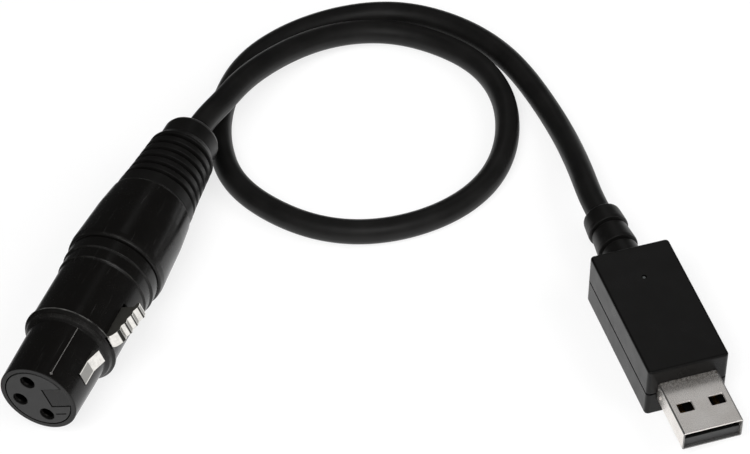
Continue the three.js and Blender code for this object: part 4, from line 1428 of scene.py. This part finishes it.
@dataclass
class Latch(Assembly):
    """The one-piece latch lever: hook, strip, sawtoothed thumb piece and knuckle."""

    width: float = 2.8
    top: float = 8.05
    sheet: float = 0.6
    thumb_start: float = 14.65
    thumb_length: float = 9.2
    thumb_height: float = 5.25
    arm_half: float = 0.3
    knuckle_radius: float = 0.8
    pin_radius: float = 0.5
    softening: float = 0.08
    softened: float = 65.0
    sharp: float = 9.0
    thumb_shares: tuple[Pair, ...] = (
        (0, 0.3), (0.005, 0.352), (0.016, 0.448), (0.038, 0.524), (0.082, 0.6), (0.147, 0.686),
        (0.223, 0.743), (0.321, 0.705), (0.424, 0.848), (0.533, 0.8), (0.658, 0.914), (0.755, 0.876),
        (0.891, 1), (0.994, 0.952), (0.99, 0.86), (0.885, 0.8), (0.885, 0.13))

    def outline(self) -> Array:
        """Side outline: hook, strip, thumb piece, arm and underside.

        Returns:
            Rows of station and height, rounded.
        """
        bottom, end = self.top - self.sheet, self.thumb_start + self.thumb_length
        shares = np.array(self.thumb_shares)
        thumb = np.column_stack([self.thumb_start + self.thumb_length * shares[:, 0],
                                 bottom + self.thumb_height * shares[:, 1], np.full(len(shares), 0.04)])
        pin_y, pin_z = LATCH_PIN
        over, under = pin_z + self.arm_half, pin_z - self.arm_half
        return rounded_outline(np.concatenate([
            [[4.8, self.top, 0.12], [8.3, self.top, 0.08], [11.05, 9.3, 0.06], [11.15, 7.55, 0.05],
             [13.9, 7.55, 0.1], [14.4, self.top, 0.1], [self.thumb_start, self.top, 0.05]], thumb,
            [[end, over, 0.1], [pin_y, over, 0.0], [pin_y, under, 0.0], [end, under, 0.1],
             [end - 0.6, bottom, 0.1], [14.6, bottom, 0.1], [14.1, 6.95, 0.1], [10.8, 6.95, 0.1],
             [10.3, bottom, 0.1], [4.8, bottom, 0.1]]]), steps=2, hold=0.04)

    def build(self) -> None:
        """Carry the outline across the lever's width, join its knuckle, bore it and soften its edges."""
        lever = make_piece("latch_strip", prism(self.outline(), self.width), CONNECTOR)
        knuckle = rod(self.knuckle_radius, (-self.width / 2.0, *LATCH_PIN), Axis.X, self.width)
        bore = rod(self.pin_radius, (-self.width, *LATCH_PIN), Axis.X, 2 * self.width)
        carve(lever, Carving.JOIN, [knuckle], CONNECTOR)
        carve(lever, Carving.CUT, [bore], CONNECTOR)
        soften_edges(lever, self.softening, self.softened)
        close_and_smooth(lever.data, self.sharp)
        self.dress(lever, "latch_nickel", "latch_lever", slot="bright_nickel", body=Body.LATCH)
        self.dress_nodes(latch_pin="spring_steel", latch_spring="spring_steel")


@dataclass
class RearEnd(Assembly):
    """The screwed rear cap, the chuck inside it and the ribbed boot behind it.

    The boot's shape is shares of its radius and its length, with a corner radius each.
    """

    cap_front: float = 35.04
    cap_back: float = 53.0
    cap_bore: float = 8.05
    boot_front: float = 53.15
    boot_length: float = 22.75
    boot_radius: float = 8.45
    boot_bore: float = 2.65
    neck_radius: float = 6.3
    ring_start: float = 3.21
    ring_pitch: float = 2.294
    ring_count: int = 6
    ring_width: float = 1.05
    ring_depth: float = 1.0
    ring_edge: float = 0.16
    boot_shares: tuple[Triple, ...] = (
        (0.99, 0, 0.15), (0.975, 0.11, 1), (0.93, 0.235, 1), (0.893, 0.385, 1), (0.846, 0.605, 1),
        (0.828, 0.69, 0.6), (0.775, 0.735, 0.8), (0.712, 0.765, 0.6), (0.7, 0.92, 0.2), (0.665, 0.95, 0.4),
        (0.58, 0.982, 0.4), (0.475, 1, 0.2))

    def build_cap(self) -> Piece:
        """Turned cap: rounded front, long slow taper, chamfered back.

        Returns:
            The cap.
        """
        outline = rounded_outline([
            [self.cap_bore, self.cap_front, 0.08], [9.9, self.cap_front, 0.6], [10.05, 36.72, 1.0],
            [9.77, 40.61, 4.0], [9.33, 47.34, 4.0], [8.67, 52.7, 0.3], [8.45, self.cap_back, 0.1],
            [6.45, self.cap_back, 0.05], [6.45, 50.0, 0.0], [7.225, 50.0, 0.0], [7.225, 42.7, 0.0],
            [self.cap_bore, 42.7, 0.0]], steps=7)
        return make_piece("rear_cap", turned(outline, 160), CONNECTOR)

    def build_boot(self) -> Piece:
        """Turned boot: inner flange, neck, grooved sleeve, narrower end ring, bore.

        Returns:
            The boot.
        """
        main = np.array(self.boot_shares) * [self.boot_radius, self.boot_length, 1.0] + \
            [0.0, self.boot_front, 0.0]
        rings = self.boot_front + self.ring_start + self.ring_pitch * np.arange(self.ring_count)
        outline = np.concatenate([
            [[self.boot_bore, 47.25, 0.0], [7.075, 47.25, 0.1], [7.075, 49.85, 0.1],
             [self.neck_radius, 49.85, 0.0], [self.neck_radius, self.boot_front, 0.0]],
            grooved(main, rings, self.ring_width, self.ring_depth, self.ring_edge),
            [[self.boot_bore, self.boot_front + self.boot_length, 0.1]]])
        return make_piece("ribbed_boot", turned(rounded_outline(outline)), CONNECTOR)

    def build(self) -> None:
        """Make and dress the cap and the boot, and dress what they hold."""
        self.dress(self.build_cap(), "black_coat", "connector_cap")
        self.dress(self.build_boot(), "boot_rubber", "connector_boot")
        self.dress_nodes(cord_chuck="insert_plastic", connector_jacket="inner_jacket",
                         connector_conductor_1="red_sleeve", connector_conductor_2="bare_copper",
                         connector_conductor_3="white_sleeve")


# Studio

@dataclass(frozen=True)
class Lamp:
    """A square lamp: place and side in metres, power in watts, its aim, and its grid's full angle."""

    name: str
    spot: Triple
    size: float
    power: float
    mirrored: bool
    aim: Triple = (-0.05, 0.04, 0.0)
    spread: float = 180.0

    def build(self) -> None:
        """Hang the lamp where it faces its aim, and show it in glossy surfaces if it is mirrored."""
        data = bpy.data.lights.new(self.name, "AREA")
        data.shape, data.size, data.energy = "SQUARE", self.size, self.power
        data.spread = math.radians(self.spread)
        x, y, z = (there - here for there, here in zip(self.spot, self.aim))
        turn = (math.atan2(math.hypot(x, y), z), 0.0, math.atan2(y, x) + math.pi / 2.0)
        lamp = add_object(self.name, data, self.spot, turn)
        lamp.visible_glossy, lamp.visible_camera = self.mirrored, False


@dataclass
class Studio:
    """Camera, floor, world and lamps."""

    camera_place: Triple = (-0.17002, -0.35564, 0.43783)
    camera_turn: Triple = (43.993, 0.0, -17.587)
    lens: float = 144.0
    sensor: float = 36.0
    floor_half: float = 0.6
    floor_level: float = -2e-5
    floor_glow: float = 0.75
    card_way: Triple = (-0.7884, 0.6152, 0.0)
    card_start: float = 0.117
    card_end: float = 0.131
    card_level: float = 0.05
    sky_span: Pair = (-0.7, 0.3)
    sky_front: float = 0.3
    sky_back: float = 0.05
    lamps: tuple[Lamp, ...] = (
        Lamp("key", (-0.6, -0.55, 1.0), 0.7, 14.0, False),
        Lamp("fill", (0.75, -0.45, 0.8), 0.8, 8.0, False),
        Lamp("back_panel", (0.057, 0.158, 0.202), 0.15, 0.0024, True, (0.0, -0.02, 0.008), 44.0),
        Lamp("front_panel", (-0.14, -0.52, 0.72), 0.6, 1.6, True))

    def build_camera(self) -> None:
        """Set the camera at the photograph's viewing angle."""
        data = bpy.data.cameras.new("camera")
        data.lens, data.sensor_width, data.clip_start = self.lens, self.sensor, 0.01
        turn = tuple(math.radians(v) for v in self.camera_turn)
        bpy.context.scene.camera = add_object("camera", data, self.camera_place, turn)

    def build_floor(self) -> None:
        """Flat pale floor that keeps a soft shadow and shows white to the camera and in reflections.

        In reflections it fades to a dark card beyond the connector, on the side away from the plug.
        """
        half, level = self.floor_half, self.floor_level
        mesh = bpy.data.meshes.new("floor")
        mesh.from_pydata([(-half, -half, level), (half, -half, level), (half, half, level),
                          (-half, half, level)], [], [[0, 1, 2, 3]])
        floor = add_object("floor", mesh)
        paint = Painter("white_floor")
        path = paint.add("ShaderNodeLightPath").outputs
        seen = paint.calc("ADD", path["Is Camera Ray"], path["Is Glossy Ray"], True)
        seen = paint.calc("ADD", seen, path["Is Transmission Ray"], True)
        share = paint.calc("MULTIPLY", seen, self.floor_glow)
        matte = paint.add("ShaderNodeBsdfDiffuse", {"Color": grey(0.95)})
        glow = paint.add("ShaderNodeEmission", {"Color": grey(1.0), "Strength": 1.0})
        mixed = paint.add("ShaderNodeMixShader", {0: share, 1: matte.outputs[0], 2: glow.outputs[0]})
        away = paint.add("ShaderNodeVectorMath", {0: paint.here, 1: self.card_way},
                         operation="DOT_PRODUCT").outputs[1]
        card = paint.spread(away, self.card_start, self.card_end, 0.0, 1.0 - self.card_level)
        dim = paint.calc("MULTIPLY", card, path["Is Glossy Ray"])
        black = paint.add("ShaderNodeEmission", {"Color": grey(0.0), "Strength": 0.0})
        shown = paint.add("ShaderNodeMixShader", {0: dim, 1: mixed.outputs[0], 2: black.outputs[0]})
        paint.add("ShaderNodeOutputMaterial", {"Surface": shown.outputs[0]})
        mesh.materials.append(paint.made)

    def build_world(self) -> None:
        """World that is pale in front and dim behind the object, and white to the camera."""
        paint = Painter("studio", world=True)
        split = paint.add("ShaderNodeSeparateXYZ", {0: paint.source.outputs["Generated"]})
        fade = paint.spread(split.outputs["Y"], *self.sky_span, self.sky_front, self.sky_back)
        camera = paint.add("ShaderNodeLightPath").outputs["Is Camera Ray"]
        strength = paint.add("ShaderNodeMix", {0: camera, 2: fade, 3: 1.0}).outputs[0]
        sky = paint.add("ShaderNodeBackground", {"Color": grey(1.0), "Strength": strength})
        paint.add("ShaderNodeOutputWorld", {"Surface": sky.outputs[0]})
        bpy.context.scene.world = paint.made

    def build(self) -> None:
        """Make the floor, the world and the lamps."""
        self.build_floor()
        self.build_world()
        for lamp in self.lamps:
            lamp.build()
        bpy.context.scene.view_settings.view_transform = "Standard"


def main() -> None:
    """Build the scene in order."""
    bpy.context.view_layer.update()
    studio = Studio()
    studio.build_camera()
    paints = {finish.name: finish.material() for finish in FINISHES}
    studio.build()
    for kind in (Cord, Housing, FlatPlug, Electronics, StrainBoot, ConnectorShell, ConnectorInsert, Latch,
                 RearEnd):
        kind(paints).build()
        log.info("built %s", kind.__name__)
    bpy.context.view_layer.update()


if __name__ == "__main__":
    main()
